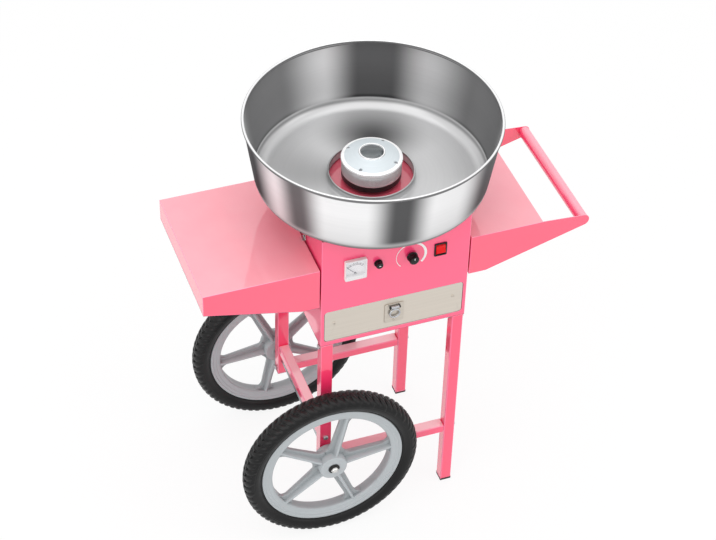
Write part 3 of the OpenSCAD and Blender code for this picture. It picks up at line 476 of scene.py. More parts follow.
@cache
def brushed_group() -> Tree:
    """Shader group for grain drawn out along one way (Streak and Height), made once.

    Returns:
        The tree.
    """
    graph, takes, gives = open_group(
        "Brushed grain", "ShaderNodeTree", {"Streak": "Float", "Height": "Float"},
        Vector="Vector", Along=4.0, Across=900.0,
    )
    scales = (takes["Along"], takes["Across"], takes["Across"])
    parts = zip(graph.split(takes["Vector"]), scales)
    drawn = graph.vector(*(graph.calc("MULTIPLY", part, scale) for part, scale in parts))
    streak = graph.noise(drawn, scale=0.25, detail=3.0)
    graph.feed(gives, Streak=streak, Height=graph.noise(drawn, scale=1.0, detail=2.0))
    return graph.tree


@cache
def dust_and_highlight_group() -> Tree:
    """Shader group for a mask on faces that look up (Mask), made once: faint dust at small
    amounts, a painted highlight at large ones.

    Returns:
        The tree.
    """
    graph, takes, gives = open_group(
        "Settled dust and painted highlight", "ShaderNodeTree", {"Mask": "Float"}, Vector="Vector", Amount=0.05
    )
    falloff, uneven = 3.0, (0.9, 1.1)
    level = graph.calc("POWER", graph.calc("MAXIMUM", graph.normal()[2], 0.0), falloff)
    patch = graph.ramp(graph.noise(takes["Vector"], scale=22.0, detail=6.0), uneven)
    mask = graph.calc("MULTIPLY", graph.calc("MULTIPLY", patch, level), takes["Amount"])
    graph.feed(gives, Mask=mask)
    return graph.tree


@dataclass(frozen=True)
class Polar:
    """Sockets of a place about the cart's upright axis."""

    x: Socket
    y: Socket
    z: Socket
    radius: Socket
    turn: Socket


class Surface(Graph):
    """The nodes of a material, with its shader and the object's coordinates."""

    def __init__(self, material: bpy.types.Material) -> None:
        """Opens a new material's tree.

        Args:
            material: The material.
        """
        material.use_nodes = True
        super().__init__(material.node_tree)
        self.shader = self.tree.nodes["Principled BSDF"]
        self.where = self.add("ShaderNodeTexCoord").outputs["Object"]

    def polar(self) -> Polar:
        """Place about the cart's upright axis.

        Returns:
            The sockets of the place.
        """
        row_x, y, z = self.split(self.where)
        x = self.calc("SUBTRACT", row_x, CENTRE_X)
        squares = self.calc("ADD", self.calc("MULTIPLY", x, x), self.calc("MULTIPLY", y, y))
        return Polar(x, y, z, self.calc("SQRT", squares), self.calc("ARCTAN2", y, x))

    def grain(self, rough: Pair, **scales: float) -> Sockets:
        """Outputs of the surface grain group.

        Args:
            rough: Lowest and highest roughness.
            scales: The group's scales, where they differ from its own.

        Returns:
            The outputs Value and Height.
        """
        settings = {"node_tree": grain_group()}
        inputs = {"Vector": self.where, "Low": rough[0], "High": rough[1], **scales}
        return self.add("ShaderNodeGroup", settings, **inputs).outputs

    def brushed(self, where: Socket, along: float, across: float) -> Sockets:
        """Outputs of the brushed grain group.

        Args:
            where: Place, with the grain along its X.
            along: Scale along the grain.
            across: Scale across the grain.

        Returns:
            The outputs Streak and Height.
        """
        settings = {"node_tree": brushed_group()}
        inputs = {"Vector": where, "Along": along, "Across": across}
        return self.add("ShaderNodeGroup", settings, **inputs).outputs

    def dust_and_highlight(self, tone: Socket, amount: float, dust: Colour) -> Socket:
        """A colour with dust, and at large amounts a painted highlight, on faces that look up.

        Args:
            tone: The colour.
            amount: Share of dust and painted highlight on a level face.
            dust: Colour of the dust and painted highlight.

        Returns:
            The colour's socket.
        """
        settings = {"node_tree": dust_and_highlight_group()}
        mask = self.add("ShaderNodeGroup", settings, Vector=self.where, Amount=amount)
        return self.mix(mask.outputs["Mask"], tone, dust)

    def bump(self, height: Socket, size: Pair) -> None:
        """Gives the shader a bump with a strength from 0 to 1 and a depth in metres."""
        inputs = {"Strength": size[0], "Distance": size[1], "Height": height}
        self.feed(self.shader, Normal=self.add("ShaderNodeBump", None, **inputs).outputs[0])


@dataclass(frozen=True)
class Fade:
    """A share that is full where a value is at its start and gone where it is at its stop."""

    start: float
    stop: float
    depth: float = 1.0
    soft: bool = True

    def of(self, on: Graph, value: Socket) -> Socket:
        """The share for a value."""
        return on.ramp(value, (self.depth, 0.0), (self.start, self.stop), self.soft)


class Layer:
    """Something that changes the colour of a turned surface."""

    def over(self, on: Surface, spot: Polar, tone: Socket) -> Socket:
        """The changed colour.

        Args:
            on: The material's nodes.
            spot: Place about the axis.
            tone: The colour so far.

        Returns:
            The colour's socket.
        """
        raise NotImplementedError


@dataclass(frozen=True)
class PaintedHighlightRing(Layer):
    """A painted highlight: a brighter ring, by its radius."""

    edge: Fade
    colour: Colour = (1.0, 1.0, 1.0)

    def over(self, on: Surface, spot: Polar, tone: Socket) -> Socket:
        """The colour with the painted highlight ring over it."""
        return on.mix(self.edge.of(on, spot.radius), tone, self.colour)


@dataclass(frozen=True)
class ShadeSector:
    """A painted dark reflection sector: middle and half width in degrees, depth, and the core's
    share.
    """

    middle: float
    half: float
    depth: float
    core: float = 0.0

    def light(self, on: Graph, turn: Socket) -> Socket:
        """Share of the colour that the sector's painted shade leaves.

        Args:
            on: The material's nodes.
            turn: Angle about the axis.

        Returns:
            The share's socket.
        """
        away = on.calc("SUBTRACT", turn, math.radians(self.middle))
        away = on.calc("ABSOLUTE", on.calc("WRAP", away, math.pi, -math.pi))
        span = (math.radians(self.half * self.core), math.radians(self.half))
        return on.ramp(away, (1.0 - self.depth, 1.0), span, soft=True)


@dataclass(frozen=True)
class BowlShade(Layer):
    """Painted studio reflections and shade on a spun bowl: sectors, and lines at its bead and
    fillet.
    """

    outer: tuple[ShadeSector, ...] = (
        ShadeSector(166.0, 36, 0.97, 0.47), ShadeSector(-145.0, 14, 0.88, 0.1),
        ShadeSector(-97.1, 16, 0.95, 0.15), ShadeSector(-33.0, 36, 0.89, 0.42),
        ShadeSector(35.0, 14, 0.88, 0.1), ShadeSector(83.0, 16, 0.95, 0.15),
    )
    inner: tuple[ShadeSector, ...] = (
        ShadeSector(68.7, 26, 0.9, 0.3), ShadeSector(134.0, 42, 0.74, 0.36), ShadeSector(0.0, 42, 0.78, 0.35),
        ShadeSector(38.0, 30, 0.26, 0.2), ShadeSector(-56.0, 20, 0.5, 0.2), ShadeSector(-111.0, 24, 0.85, 0.3),
        ShadeSector(-168.0, 20, 0.5, 0.2),
    )
    floor: tuple[ShadeSector, ...] = (
        ShadeSector(68.7, 56, 0.68), ShadeSector(-111.0, 70, 0.08), ShadeSector(160.0, 50, 0.28),
    )
    # Colour of the painted shade, and the fades that place it: wall sectors, floor, a line under
    # the bead and at the fillet, bead flanks, faces looking down, low outer wall.
    shade: Colour = (0.06, 0.06, 0.062)
    outer_z: Fade = Fade(0.826, 0.808)
    inner_z: Fade = Fade(0.8178, 0.8128)
    floor_r: Fade = Fade(0.13, 0.25)
    floor_shade: Fade = Fade(0.808, 0.826, 0.26)
    below_bead: Fade = Fade(0.9415, 0.9427, soft=False)
    line_z: float = 0.9398
    line: Fade = Fade(0.0008, 0.0026, 0.8, soft=False)
    fillet_z: float = 0.8093
    fillet: Fade = Fade(0.0, 0.0058, 0.36)
    flank_in: Fade = Fade(0.3, 0.8, 0.8)
    flank_out: Fade = Fade(0.5, 0.95, 0.85)
    shade_facing_down: Fade = Fade(-0.7, -0.17, 0.92)
    outer_low_shade: Fade = Fade(0.81, 0.9, 0.2, soft=False)
    outer_least: float = 0.12

    @staticmethod
    def dark(on: Graph, turn: Socket, sectors: Sequence[ShadeSector], part: Socket) -> Socket:
        """Depth of the painted shade sectors on one part of the bowl.

        Args:
            on: The material's nodes.
            turn: Angle about the axis.
            sectors: The sectors.
            part: 1 on the part, 0 elsewhere.

        Returns:
            The depth's socket.
        """
        light: Setting = 1.0
        for sector in sectors:
            light = on.calc("MULTIPLY", light, sector.light(on, turn))
        return on.calc("MULTIPLY", on.inverse(light), part)

    def over(self, on: Surface, spot: Polar, tone: Socket) -> Socket:
        """The colour with the painted reflections and shade over it.

        Args:
            on: The material's nodes.
            spot: Place about the axis.
            tone: The colour so far.

        Returns:
            The colour's socket.
        """
        # Adds up the painted reflection sectors and painted shade, then mixes in the shade colour.
        way = on.normal()
        out = on.calc("MULTIPLY", way[0], spot.x)
        out = on.calc("ADD", out, on.calc("MULTIPLY", way[1], spot.y))
        outside = on.calc("GREATER_THAN", out, self.outer_least)
        inner = self.dark(on, spot.turn, self.inner, self.inner_z.of(on, spot.z))
        outer = self.dark(on, spot.turn, self.outer, self.outer_z.of(on, spot.z))
        below = self.below_bead.of(on, spot.z)
        flank = on.blend(outside, self.flank_in.of(on, way[2]), self.flank_out.of(on, way[2]))
        dark = on.calc("MULTIPLY", on.blend(outside, inner, outer), below)
        for more in (
            self.dark(on, spot.turn, self.floor, self.floor_r.of(on, spot.radius)),
            self.floor_shade.of(on, spot.z),
            self.fillet.of(on, on.off(spot.z, self.fillet_z)),
            on.calc("MULTIPLY", flank, on.inverse(below)),
        ):
            dark = on.calc("ADD", dark, more)
        lower = on.calc("MULTIPLY", self.outer_low_shade.of(on, spot.z), outside)
        dark = on.inverse(on.calc("MULTIPLY", on.inverse(dark), on.inverse(lower)))
        line = self.line.of(on, on.off(spot.z, self.line_z))
        for least in (line, self.shade_facing_down.of(on, way[2])):
            dark = on.calc("MAXIMUM", dark, least)
        return on.mix(dark, tone, self.shade)


@dataclass(frozen=True)
class Finish:
    """A finish that makes its Blender material once."""

    name: str

    def material(self) -> bpy.types.Material:
        """The finish's material, made on the first call.

        Returns:
            The material.
        """
        made = bpy.data.materials.get(self.name)
        if made is None:
            made = bpy.data.materials.new(self.name)
            self.dress(Surface(made))
        return made

    def dress(self, on: Surface) -> None:
        """Joins the finish's nodes to the shader.

        Args:
            on: The new material's nodes.
        """
        raise NotImplementedError


@dataclass(frozen=True)
class PowderCoat(Finish):
    """Glossy powder coat on sheet and tube: slight orange peel, painted highlight on top faces."""

    colour: Colour
    rough: Pair = (0.3, 0.42)
    # pale and sheen: share and colour of a painted highlight, with a little dust, on faces that
    # look up.
    pale: float = 0.4
    sheen: Colour = (1.0, 0.80, 0.83)
    patch: float = 7.0
    peel: float = 420.0
    depth: Pair = (0.10, 0.0002)
    tone: float = 3.0
    deeper: float = 0.94
    lighter: Pair = (1.04, 0.008)
    coat_rough: float = 0.05
    coat_ior: float = 1.72

    def dress(self, on: Surface) -> None:
        """Joins paint, dust with a painted highlight on top faces, and clear coat to the shader.

        Args:
            on: The new material's nodes.
        """
        grain = on.grain(self.rough, Patch_Scale=self.patch, Grain_Scale=self.peel)
        gain, lift = self.lighter
        light = tuple(min(1.0, part * gain + lift) for part in self.colour)
        tone = on.noise(on.where, self.tone, detail=3.0)
        paint = on.mix(tone, scaled(self.colour, self.deeper), light)
        on.feed(
            on.shader, Base_Color=on.dust_and_highlight(paint, self.pale, self.sheen), Roughness=grain["Value"],
            Coat_Weight=1.0, Coat_Roughness=self.coat_rough, Coat_IOR=self.coat_ior,
        )
        on.bump(grain["Height"], self.depth)


@dataclass(frozen=True)
class SpunMetal(Finish):
    """Metal turned about an upright axis, with fine rings and a drawn-out sheen."""

    dark: Colour
    light: Colour
    rough: Pair
    metallic: float
    rings: float = 700.0
    anisotropy: float = 0.0
    layers: tuple[Layer, ...] = ()
    along: float = 2.2
    turned: float = 0.25
    specular: float = 0.0
    tint: Colour = (0.3, 0.3, 0.31)
    depth: Pair = (0.03, 0.0001)

    def dress(self, on: Surface) -> None:
        """Joins rings, layers and sheen to the shader.

        Args:
            on: The new material's nodes.
        """
        spot = on.polar()
        around = on.vector(spot.turn, spot.radius, spot.z)
        brushed = on.brushed(around, self.along, self.rings)
        tone = on.mix(brushed["Streak"], self.dark, self.light)
        for layer in self.layers:
            tone = layer.over(on, spot, tone)
        tangent = on.add("ShaderNodeTangent", {"direction_type": "RADIAL", "axis": "Z"})
        on.feed(
            on.shader, Base_Color=tone, Roughness=on.ramp(brushed["Height"], self.rough),
            Metallic=self.metallic, Anisotropic=self.anisotropy, Anisotropic_Rotation=self.turned,
            Tangent=tangent.outputs[0], Specular_IOR_Level=self.specular, Specular_Tint=self.tint,
        )
        on.bump(brushed["Height"], self.depth)


@dataclass(frozen=True)
class BrushedMetal(Finish):
    """Flat metal with straight grain along X."""

    dark: Colour
    light: Colour
    rough: Pair = (0.32, 0.46)
    metallic: float = 0.85
    along: float = 12.0
    across: float = 1500.0
    depth: Pair = (0.05, 0.0001)

    def dress(self, on: Surface) -> None:
        """Joins the straight grain to the shader.

        Args:
            on: The new material's nodes.
        """
        brushed = on.brushed(on.where, self.along, self.across)
        on.feed(
            on.shader, Base_Color=on.mix(brushed["Streak"], self.dark, self.light),
            Roughness=on.ramp(brushed["Height"], self.rough), Metallic=self.metallic,
        )
        on.bump(brushed["Height"], self.depth)


@dataclass(frozen=True)
class PlainMetal(Finish):
    """Plated or cast metal with a patchy sheen."""

    colour: Colour
    rough: Pair = (0.2, 0.38)
    patch: float = 60.0
    fine: float = 900.0
    deeper: float = 0.8
    depth: Pair = (0.08, 0.0002)

    def dress(self, on: Surface) -> None:
        """Joins the patchy sheen to the shader.

        Args:
            on: The new material's nodes.
        """
        grain = on.grain(self.rough, Patch_Scale=self.patch, Grain_Scale=self.fine)
        tone = on.mix(grain["Height"], scaled(self.colour, self.deeper), self.colour)
        on.feed(on.shader, Base_Color=tone, Roughness=grain["Value"], Metallic=1.0)
        on.bump(grain["Height"], self.depth)


@dataclass(frozen=True)
class RecessShade:
    """Painted shade in the recesses of a wheel, towards its middle plane."""

    mid_y: float = 0.188
    reach: Fade = Fade(0.003, 0.014, 0.4)
    deeper: float = 0.35

    def over(self, on: Surface, tone: Socket, colour: Colour) -> Socket:
        """A tone with the painted shade over it, from the plastic's own colour."""
        off = on.off(on.calc("ABSOLUTE", on.split(on.where)[1]), self.mid_y)
        return on.mix(self.reach.of(on, off), tone, scaled(colour, self.deeper))


@dataclass(frozen=True)
class Moulded(Finish):
    """Moulded plastic or rubber with a fine texture and a little dust."""

    colour: Colour
    rough: Pair
    fine: float
    strength: float
    dust: float = 0.04
    specular: float = 0.5
    recess_shade: Optional[RecessShade] = None
    patch: float = 25.0
    tone: float = 9.0
    deeper: float = 0.9
    depth: float = 0.0003
    dust_colour: Colour = (0.6, 0.58, 0.56)

    def dress(self, on: Surface) -> None:
        """Joins texture, painted recess shade and dust to the shader.

        Args:
            on: The new material's nodes.
        """
        grain = on.grain(self.rough, Patch_Scale=self.patch, Grain_Scale=self.fine)
        noise = on.noise(on.where, self.tone, detail=4.0)
        tone = on.mix(noise, scaled(self.colour, self.deeper), self.colour)
        if self.recess_shade:
            tone = self.recess_shade.over(on, tone, self.colour)
        on.feed(
            on.shader, Base_Color=on.dust_and_highlight(tone, self.dust, self.dust_colour),
            Roughness=grain["Value"], Specular_IOR_Level=self.specular,
        )
        on.bump(grain["Height"], (self.strength, self.depth))


@dataclass(frozen=True)
class ClearCover(Finish):
    """Thin clear plastic that lets most of the light through."""

    colour: Colour
    rough: Pair = (0.04, 0.10)
    alpha: Pair = (0.128, 0.192)
    haze: float = 60.0
    depth: Pair = (0.02, 0.0001)

    def dress(self, on: Surface) -> None:
        """Joins a faint haze to the shader.

        Args:
            on: The new material's nodes.
        """
        grain = on.grain(self.rough)
        alpha = on.ramp(on.noise(on.where, self.haze, detail=3.0), self.alpha)
        on.feed(on.shader, Base_Color=self.colour, Roughness=grain["Value"], Alpha=alpha)
        on.bump(grain["Height"], self.depth)


class Coat(Enum):
    """The cart's finishes."""

    PINK = PowderCoat("Pink powder coat", linear(255, 66, 118))
    # Lighter pink on rounded folds: a painted highlight.
    EDGE = PowderCoat("Pink powder coat with painted highlight on folds", linear(255, 100, 144), (0.25, 0.36))
    TRAY = PowderCoat("Pink powder coat on trays", linear(255, 66, 106))
    TUBE = PowderCoat("Pink powder coat on tubes", linear(255, 44, 100))
    # Rails get a stronger painted highlight on their top faces.
    RAIL = PowderCoat("Pink powder coat on rails", linear(255, 50, 106), pale=0.72)
    # A darker pink for the top plate: painted shade under the bowl.
    SHADED_PINK = PowderCoat("Pink powder coat with painted shade under the bowl", linear(228, 90, 112), pale=0.0)
    # Spun steel with painted studio reflections and painted shade from BowlShade.
    BOWL = SpunMetal(
        "Spun steel", (0.82, 0.82, 0.825), (0.89, 0.89, 0.895), (0.26, 0.36), 0.4,
        rings=800.0, anisotropy=0.6, layers=(BowlShade(),),
    )
    BAND = SpunMetal(
        "Polished band", (0.93, 0.93, 0.94), (0.99, 0.99, 0.99), (0.14, 0.22), 0.62,
        rings=1100.0, anisotropy=0.4,
    )
    ALLOY = SpunMetal(
        "Turned alloy", linear(206, 214, 218), linear(220, 227, 231), (0.4, 0.52), 0.2,
        # Painted highlight rings at the cover's outer edge and around its hole.
        layers=(
            PaintedHighlightRing(Fade(0.0562, 0.0550, soft=False)),
            PaintedHighlightRing(Fade(0.0262, 0.0272, soft=False)),
        ),
    )
    DISH = SpunMetal("Sugar dish", linear(238, 242, 244), linear(246, 249, 250), (0.4, 0.5), 0.1)
    # Painted highlight: bright metal on the cover's rounded edges.
    EDGE_HIGHLIGHT = PlainMetal("Painted highlight on edges", (0.95, 0.95, 0.95), (0.14, 0.22))
    SATIN = BrushedMetal("Satin drawer front", linear(204, 196, 185), linear(218, 210, 199))
    NICKEL = BrushedMetal(
        "Satin nickel", linear(192, 184, 173), linear(212, 204, 193), (0.3, 0.42), 0.9
    )
    CHROME = PlainMetal("Bright plate", (0.78, 0.77, 0.75), (0.16, 0.28))
    ZINC = PlainMetal("Zinc plate", (0.55, 0.56, 0.58))
    BRASS = PlainMetal("Contact brass", (0.72, 0.52, 0.22))
    # Grey wheel plastic with painted shade in its recesses.
    WHEEL = Moulded(
        "Grey wheel plastic", linear(176, 182, 185), (0.34, 0.46), 900.0, 0.06, recess_shade=RecessShade()
    )
    TYRE = Moulded("Tyre rubber", linear(18, 18, 19), (0.26, 0.44), 700.0, 0.2, 0.02, 0.24)
    SEAL = Moulded("Soft rubber", linear(34, 34, 35), (0.55, 0.75), 900.0, 0.2)
    BLACK = Moulded("Black plastic", linear(14, 14, 15), (0.18, 0.3), 1500.0, 0.08, 0.01, 0.35)
    HEAD = Moulded("Black enamel", linear(30, 29, 29), (0.3, 0.45), 900.0, 0.08)
    WHITE = Moulded("Meter white", linear(244, 242, 240), (0.3, 0.42), 1500.0, 0.05, 0.02)
    RED = Moulded("Rocker red", linear(232, 4, 12), (0.14, 0.22), 1500.0, 0.04, 0.0, 0.25)
    CLEAR = ClearCover("Clear cover", linear(240, 240, 250))

    def material(self) -> bpy.types.Material:
        """The finish's material."""
        return self.value.material()


def link(name: str, data: Optional[bpy.types.ID]) -> bpy.types.Object:
    """Makes an object and puts it in the scene.

    Args:
        name: Name of the object.
        data: Its mesh, lamp or camera.

    Returns:
        The object.
    """
    obj = bpy.data.objects.new(name, data)
    bpy.context.scene.collection.objects.link(obj)
    return obj


def show(data: Mesh, name: str, coat: Coat, *nodes: str, stands: bool = True) -> bpy.types.Object:
    """Puts a mesh in the scene on the body of a CAD node.

    Args:
        data: The mesh, in the row frame.
        name: Name of the piece.
        coat: Its finish.
        nodes: CAD nodes; the first gives the body.
        stands: True if the piece stands for those nodes, False if it only rides with them.

    Returns:
        The piece.
    """
    obj = link(name, data)
    data.materials.clear()
    data.materials.append(coat.material())
    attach(obj, NODES[nodes[0]]["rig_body"])
    if stands:
        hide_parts(*nodes)
    LOG.info("%s: %d faces", name, len(data.polygons))
    return obj


def round_edges(obj: bpy.types.Object, radius: float, edge: Optional[Coat]) -> None:
    """Rounds the sharp edges of a piece by their bevel weights.

    Args:
        obj: The piece.
        radius: Largest radius in millimetres.
        edge: Finish of the rounded edges, or None for the piece's own.
    """
    bevel = obj.modifiers.new("Rounded edges", "BEVEL")
    bevel.limit_method = "WEIGHT"
    bevel.width = radius / MM
    bevel.segments = 3
    bevel.use_clamp_overlap = False
    bevel.harden_normals = True
    if edge is not None:
        obj.data.materials.append(edge.material())
        bevel.material = 1


def weigh_edges(work: bmesh.types.BMesh, radius: float, skip: float) -> None:
    """Gives each sharp edge the bevel weight that its faces have room for.

    Args:
        work: The mesh being edited.
        radius: Largest radius in millimetres.
        skip: Edges shorter than this in millimetres stay sharp.
    """
    sharp, room_share = math.radians(30.0), 0.4
    layer = work.edges.layers.float.new("bevel_weight_edge")
    for edge in work.edges:
        if len(edge.link_faces) != 2 or edge.calc_face_angle() < sharp:
            continue
        if edge.calc_length() * MM < skip:
            edge.smooth = False
            continue
        along = (edge.verts[1].co - edge.verts[0].co).normalized()
        room = radius
        for face in edge.link_faces:
            across = along.cross(face.normal)
            reach = [across.dot(vert.co) for vert in face.verts]
            room = min(room, room_share * MM * (max(reach) - min(reach)))
        edge[layer] = room / radius


def skin(
    node: str, coat: Coat, radius: float, edge: Optional[Coat] = None, skip: float = 0.0
) -> bpy.types.Object:
    """Stands a copy of a CAD node, with merged faces and rounded edges, in its place.

    Args:
        node: The CAD node.
        coat: Its finish.
        radius: Largest edge radius in millimetres.
        edge: Finish of the rounded edges, or None for the piece's own.
        skip: Edges shorter than this in millimetres stay sharp.

    Returns:
        The piece.
    """
    weld, flat = 2e-6, math.radians(0.3)
    work = bmesh.new()
    work.from_mesh(NODES[node].data)
    bmesh.ops.remove_doubles(work, verts=work.verts, dist=weld)
    bmesh.ops.dissolve_limit(work, angle_limit=flat, verts=work.verts, edges=work.edges)
    bmesh.ops.recalc_face_normals(work, faces=work.faces)
    for part in (*work.faces, *work.edges):
        part.smooth = True
    weigh_edges(work, radius, skip)
    data = bpy.data.meshes.new(f"{node}_skin")
    work.to_mesh(data)
    work.free()
    if "custom_normal" in data.attributes:
        data.attributes.remove(data.attributes["custom_normal"])
    obj = show(data, f"{node}_skin", coat, node)
    round_edges(obj, radius, edge)
    return obj


def repaint(
    obj: bpy.types.Object, coat: Coat, chosen: Callable[[bpy.types.MeshPolygon], bool]
) -> None:
    """Gives some faces of a piece a second finish.

    Args:
        obj: The piece.
        coat: The finish.
        chosen: Tells if a face gets it.
    """
    obj.data.materials.append(coat.material())
    for face in obj.data.polygons:
        if chosen(face):
            face.material_index = 1


def paint(coat: Coat, *nodes: str) -> None:
    """Gives CAD nodes that keep their shape a finish.

    Args:
        coat: The finish.
        nodes: The CAD nodes.
    """
    for node in nodes:
        NODES[node].material_slots[0].material = coat.material()
        LOG.info("%s: CAD shape", node)


class Repeat:
    """Geometry Nodes that repeat a small shape around an axis or on points."""

    @staticmethod
    @cache
    def ring_tree() -> Tree:
        """Tree that sets copies around local Z, made once.

        Returns:
            The tree.
        """
        graph, takes, gives = open_group(
            "Copies around an axis", "GeometryNodeTree", {"Geometry": "Geometry"},
            Geometry="Geometry", Shape="Object", Count=12, Phase=0.0, Sweep=math.tau,
            Finish="Material",
        )
        index = graph.add("GeometryNodeInputIndex").outputs[0]
        share = graph.calc("DIVIDE", index, takes["Count"])
        angle = graph.calc("MULTIPLY_ADD", share, takes["Sweep"], takes["Phase"])
        points = graph.add("GeometryNodePoints", None, Count=takes["Count"]).outputs[0]
        Repeat.close(graph, takes, gives, points, graph.vector(0.0, 0.0, angle))
        return graph.tree

    @staticmethod
    @cache
    def spot_tree() -> Tree:
        """Tree that sets copies on points along their own directions, made once.

        Returns:
            The tree.
        """
        graph, takes, gives = open_group(
            "Copies on points", "GeometryNodeTree", {"Geometry": "Geometry"},
            Geometry="Geometry", Shape="Object", Spin=math.pi, Seed=7, Finish="Material",
        )
        way = graph.add(
            "GeometryNodeInputNamedAttribute", {"data_type": "FLOAT_VECTOR"}, Name="facing"
        ).outputs[0]
        aligned = graph.add(
            "FunctionNodeAlignRotationToVector", {"axis": "Z"}, Vector=way
        ).outputs[0]
        spin = graph.add(
            "FunctionNodeRandomValue", {"data_type": "FLOAT"}, Seed=takes["Seed"], i3=takes["Spin"]
        ).outputs[1]
        turned = graph.add(
            "FunctionNodeRotateRotation", {"rotation_space": "LOCAL"},
            Rotation=aligned, Rotate_By=graph.vector(0.0, 0.0, spin),
        ).outputs[0]
        Repeat.close(graph, takes, gives, takes["Geometry"], turned)
        return graph.tree

    @staticmethod
    def close(graph: Graph, takes: Sockets, gives: Node, points: Socket, turn: Socket) -> None:
        """Ends a tree with copies as real geometry in their material.

        Args:
            graph: The tree's graph.
            takes: Its inputs, with Shape and Finish.
            gives: Its output node.
            points: Where the copies stand.
            turn: How they are turned.
        """
        source = graph.add("GeometryNodeObjectInfo", None, Object=takes["Shape"])
        copies = graph.add(
            "GeometryNodeInstanceOnPoints", None,
            Points=points, Instance=source.outputs["Geometry"], Rotation=turn,
        )
        real = graph.add("GeometryNodeRealizeInstances", None, Geometry=copies.outputs[0])
        dressed = graph.add(
            "GeometryNodeSetMaterial", None, Geometry=real.outputs[0], Material=takes["Finish"]
        )
        graph.feed(gives, Geometry=dressed.outputs[0])

    @staticmethod
    def run(tree: Tree, base: Mesh, shape: Shape, coat: Coat, **inputs: Setting) -> Mesh:
        """Runs a tree and keeps its result as a plain mesh.

        Args:
            tree: The tree.
            base: Mesh that the modifier sits on.
            shape: The shape to repeat.
            coat: Finish of the copies.
            inputs: The tree's other inputs by name.

        Returns:
            The mesh.
        """
        source = link("repeated", shape.mesh("repeated", local=True))
        host = link("host", base)
        values = dict(inputs, Shape=source, Finish=coat.material())
        modifier = host.modifiers.new("Copies", "NODES")
        modifier.node_group = tree
        for item in tree.interface.items_tree:
            if item.item_type == "SOCKET" and item.in_out == "INPUT" and item.name in values:
                modifier[item.identifier] = values[item.name]
        ready = bpy.context.evaluated_depsgraph_get()
        made = bpy.data.meshes.new_from_object(host.evaluated_get(ready))
        for obj in (host, source):
            bpy.data.objects.remove(obj)
        return made

    @classmethod
    def around(
        cls, shape: Shape, count: int, coat: Coat, place: Matrix, phase: float = 0.0,
        sweep: float = math.tau,
    ) -> Mesh:
        """Sets copies of a shape around an axis.

        Args:
            shape: The shape at the first angle, in millimetres.
            count: Number of copies.
            coat: Their finish.
            place: Axis as a placing in millimetres; copies turn about its local Z.
            phase: Angle of the first copy in radians.
            sweep: Angle that the copies share in radians.

        Returns:
            The mesh in the row frame.
        """
        base, tree = bpy.data.meshes.new("axis"), cls.ring_tree()
        made = cls.run(tree, base, shape, coat, Count=count, Phase=phase, Sweep=sweep)
        made.transform(in_row(place))
        smooth(made)
        return made

    @classmethod
    def on_spots(cls, shape: Shape, spots: Sequence[Spot], coat: Coat, seed: int) -> Mesh:
        """Sets copies of a shape on points.

        Args:
            shape: The shape with its axis along Z, in millimetres.
            spots: Place in millimetres and direction of each copy.
            coat: Their finish.
            seed: Seed of the copies' turn about their own axis.

        Returns:
            The mesh in the row frame.
        """
        base = bpy.data.meshes.new("spots")
        base.from_pydata([spot / MM for spot, _ in spots], [], [])
        facing = base.attributes.new("facing", "FLOAT_VECTOR", "POINT")
        for item, (_, way) in zip(facing.data, spots):
            item.vector = way
        made = cls.run(cls.spot_tree(), base, shape, coat, Seed=seed, Spin=math.pi)
        made.transform(Matrix.Translation((CENTRE_X, 0, 0)))
        smooth(made)
        return made


def joined(name: str, *meshes: Mesh) -> Mesh:
    """Joins meshes into one.

    Args:
        name: Name of the new mesh.
        meshes: The meshes.

    Returns:
        The joined mesh.
    """
    work = bmesh.new()
    for data in meshes:
        work.from_mesh(data)
    made = bpy.data.meshes.new(name)
    work.to_mesh(made)
    work.free()
    made.materials.clear()
    smooth(made)
    return made


@dataclass
class Cabinet:
    """Painted sheet, tubes and their feet."""

    fold: float = 1.4
    tube_corner: float = 2.4
    tube_t: float = 1.5
    foot_edge: float = 1.2
    inlet_edge: float = 0.8
    sheets: tuple[str, ...] = ("cabinet_shell", "cabinet_floor", "rear_cover")
    trays: tuple[str, ...] = ("left_tray", "right_tray")
    legs: tuple[str, ...] = (
        "front_left_leg", "rear_left_leg", "front_right_leg", "rear_right_leg",
    )
    rails: tuple[str, ...] = ("front_stretcher", "rear_stretcher", "side_brace")

    def handle(self) -> Shape:
        """The push handle's tube, from the box of its CAD node.

        Returns:
            The tube in its place.
        """
        low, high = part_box("push_handle")
        middle = (low + high) / 2 * MM - Vector((CENTRE_X * MM, 0, 0))
        _, half, r = (high - low).zyx / 2 * MM
        wall = rectangle(r - self.tube_t, r, -half, half)
        return Shape().lathe(wall, turns=96, place=facing_front(*middle))

    def build(self) -> None:
        """Makes the painted pieces and the feet."""
        groups = (
            (self.sheets, Coat.PINK, self.fold),
            (self.trays, Coat.TRAY, self.fold),
            (self.legs, Coat.TUBE, self.tube_corner),
            (self.rails, Coat.RAIL, self.tube_corner),
        )
        for nodes, coat, radius in groups:
            for node in nodes:
                # Rounded edges get the lighter pink of a painted fold highlight.
                skin(node, coat, radius, Coat.EDGE)
        tube = self.handle().mesh("push_handle_tube")
        show(tube, "push_handle_tube", Coat.PINK, "push_handle")
        # The top plate gets a darker pink, painted shade under the bowl.
        skin("top_plate", Coat.SHADED_PINK, self.fold)
        skin("leg_feet", Coat.SEAL, self.foot_edge)
        paint(Coat.ZINC, "drawer_shelf", "drawer_runners")
        skin("power_inlet", Coat.BLACK, self.inlet_edge)


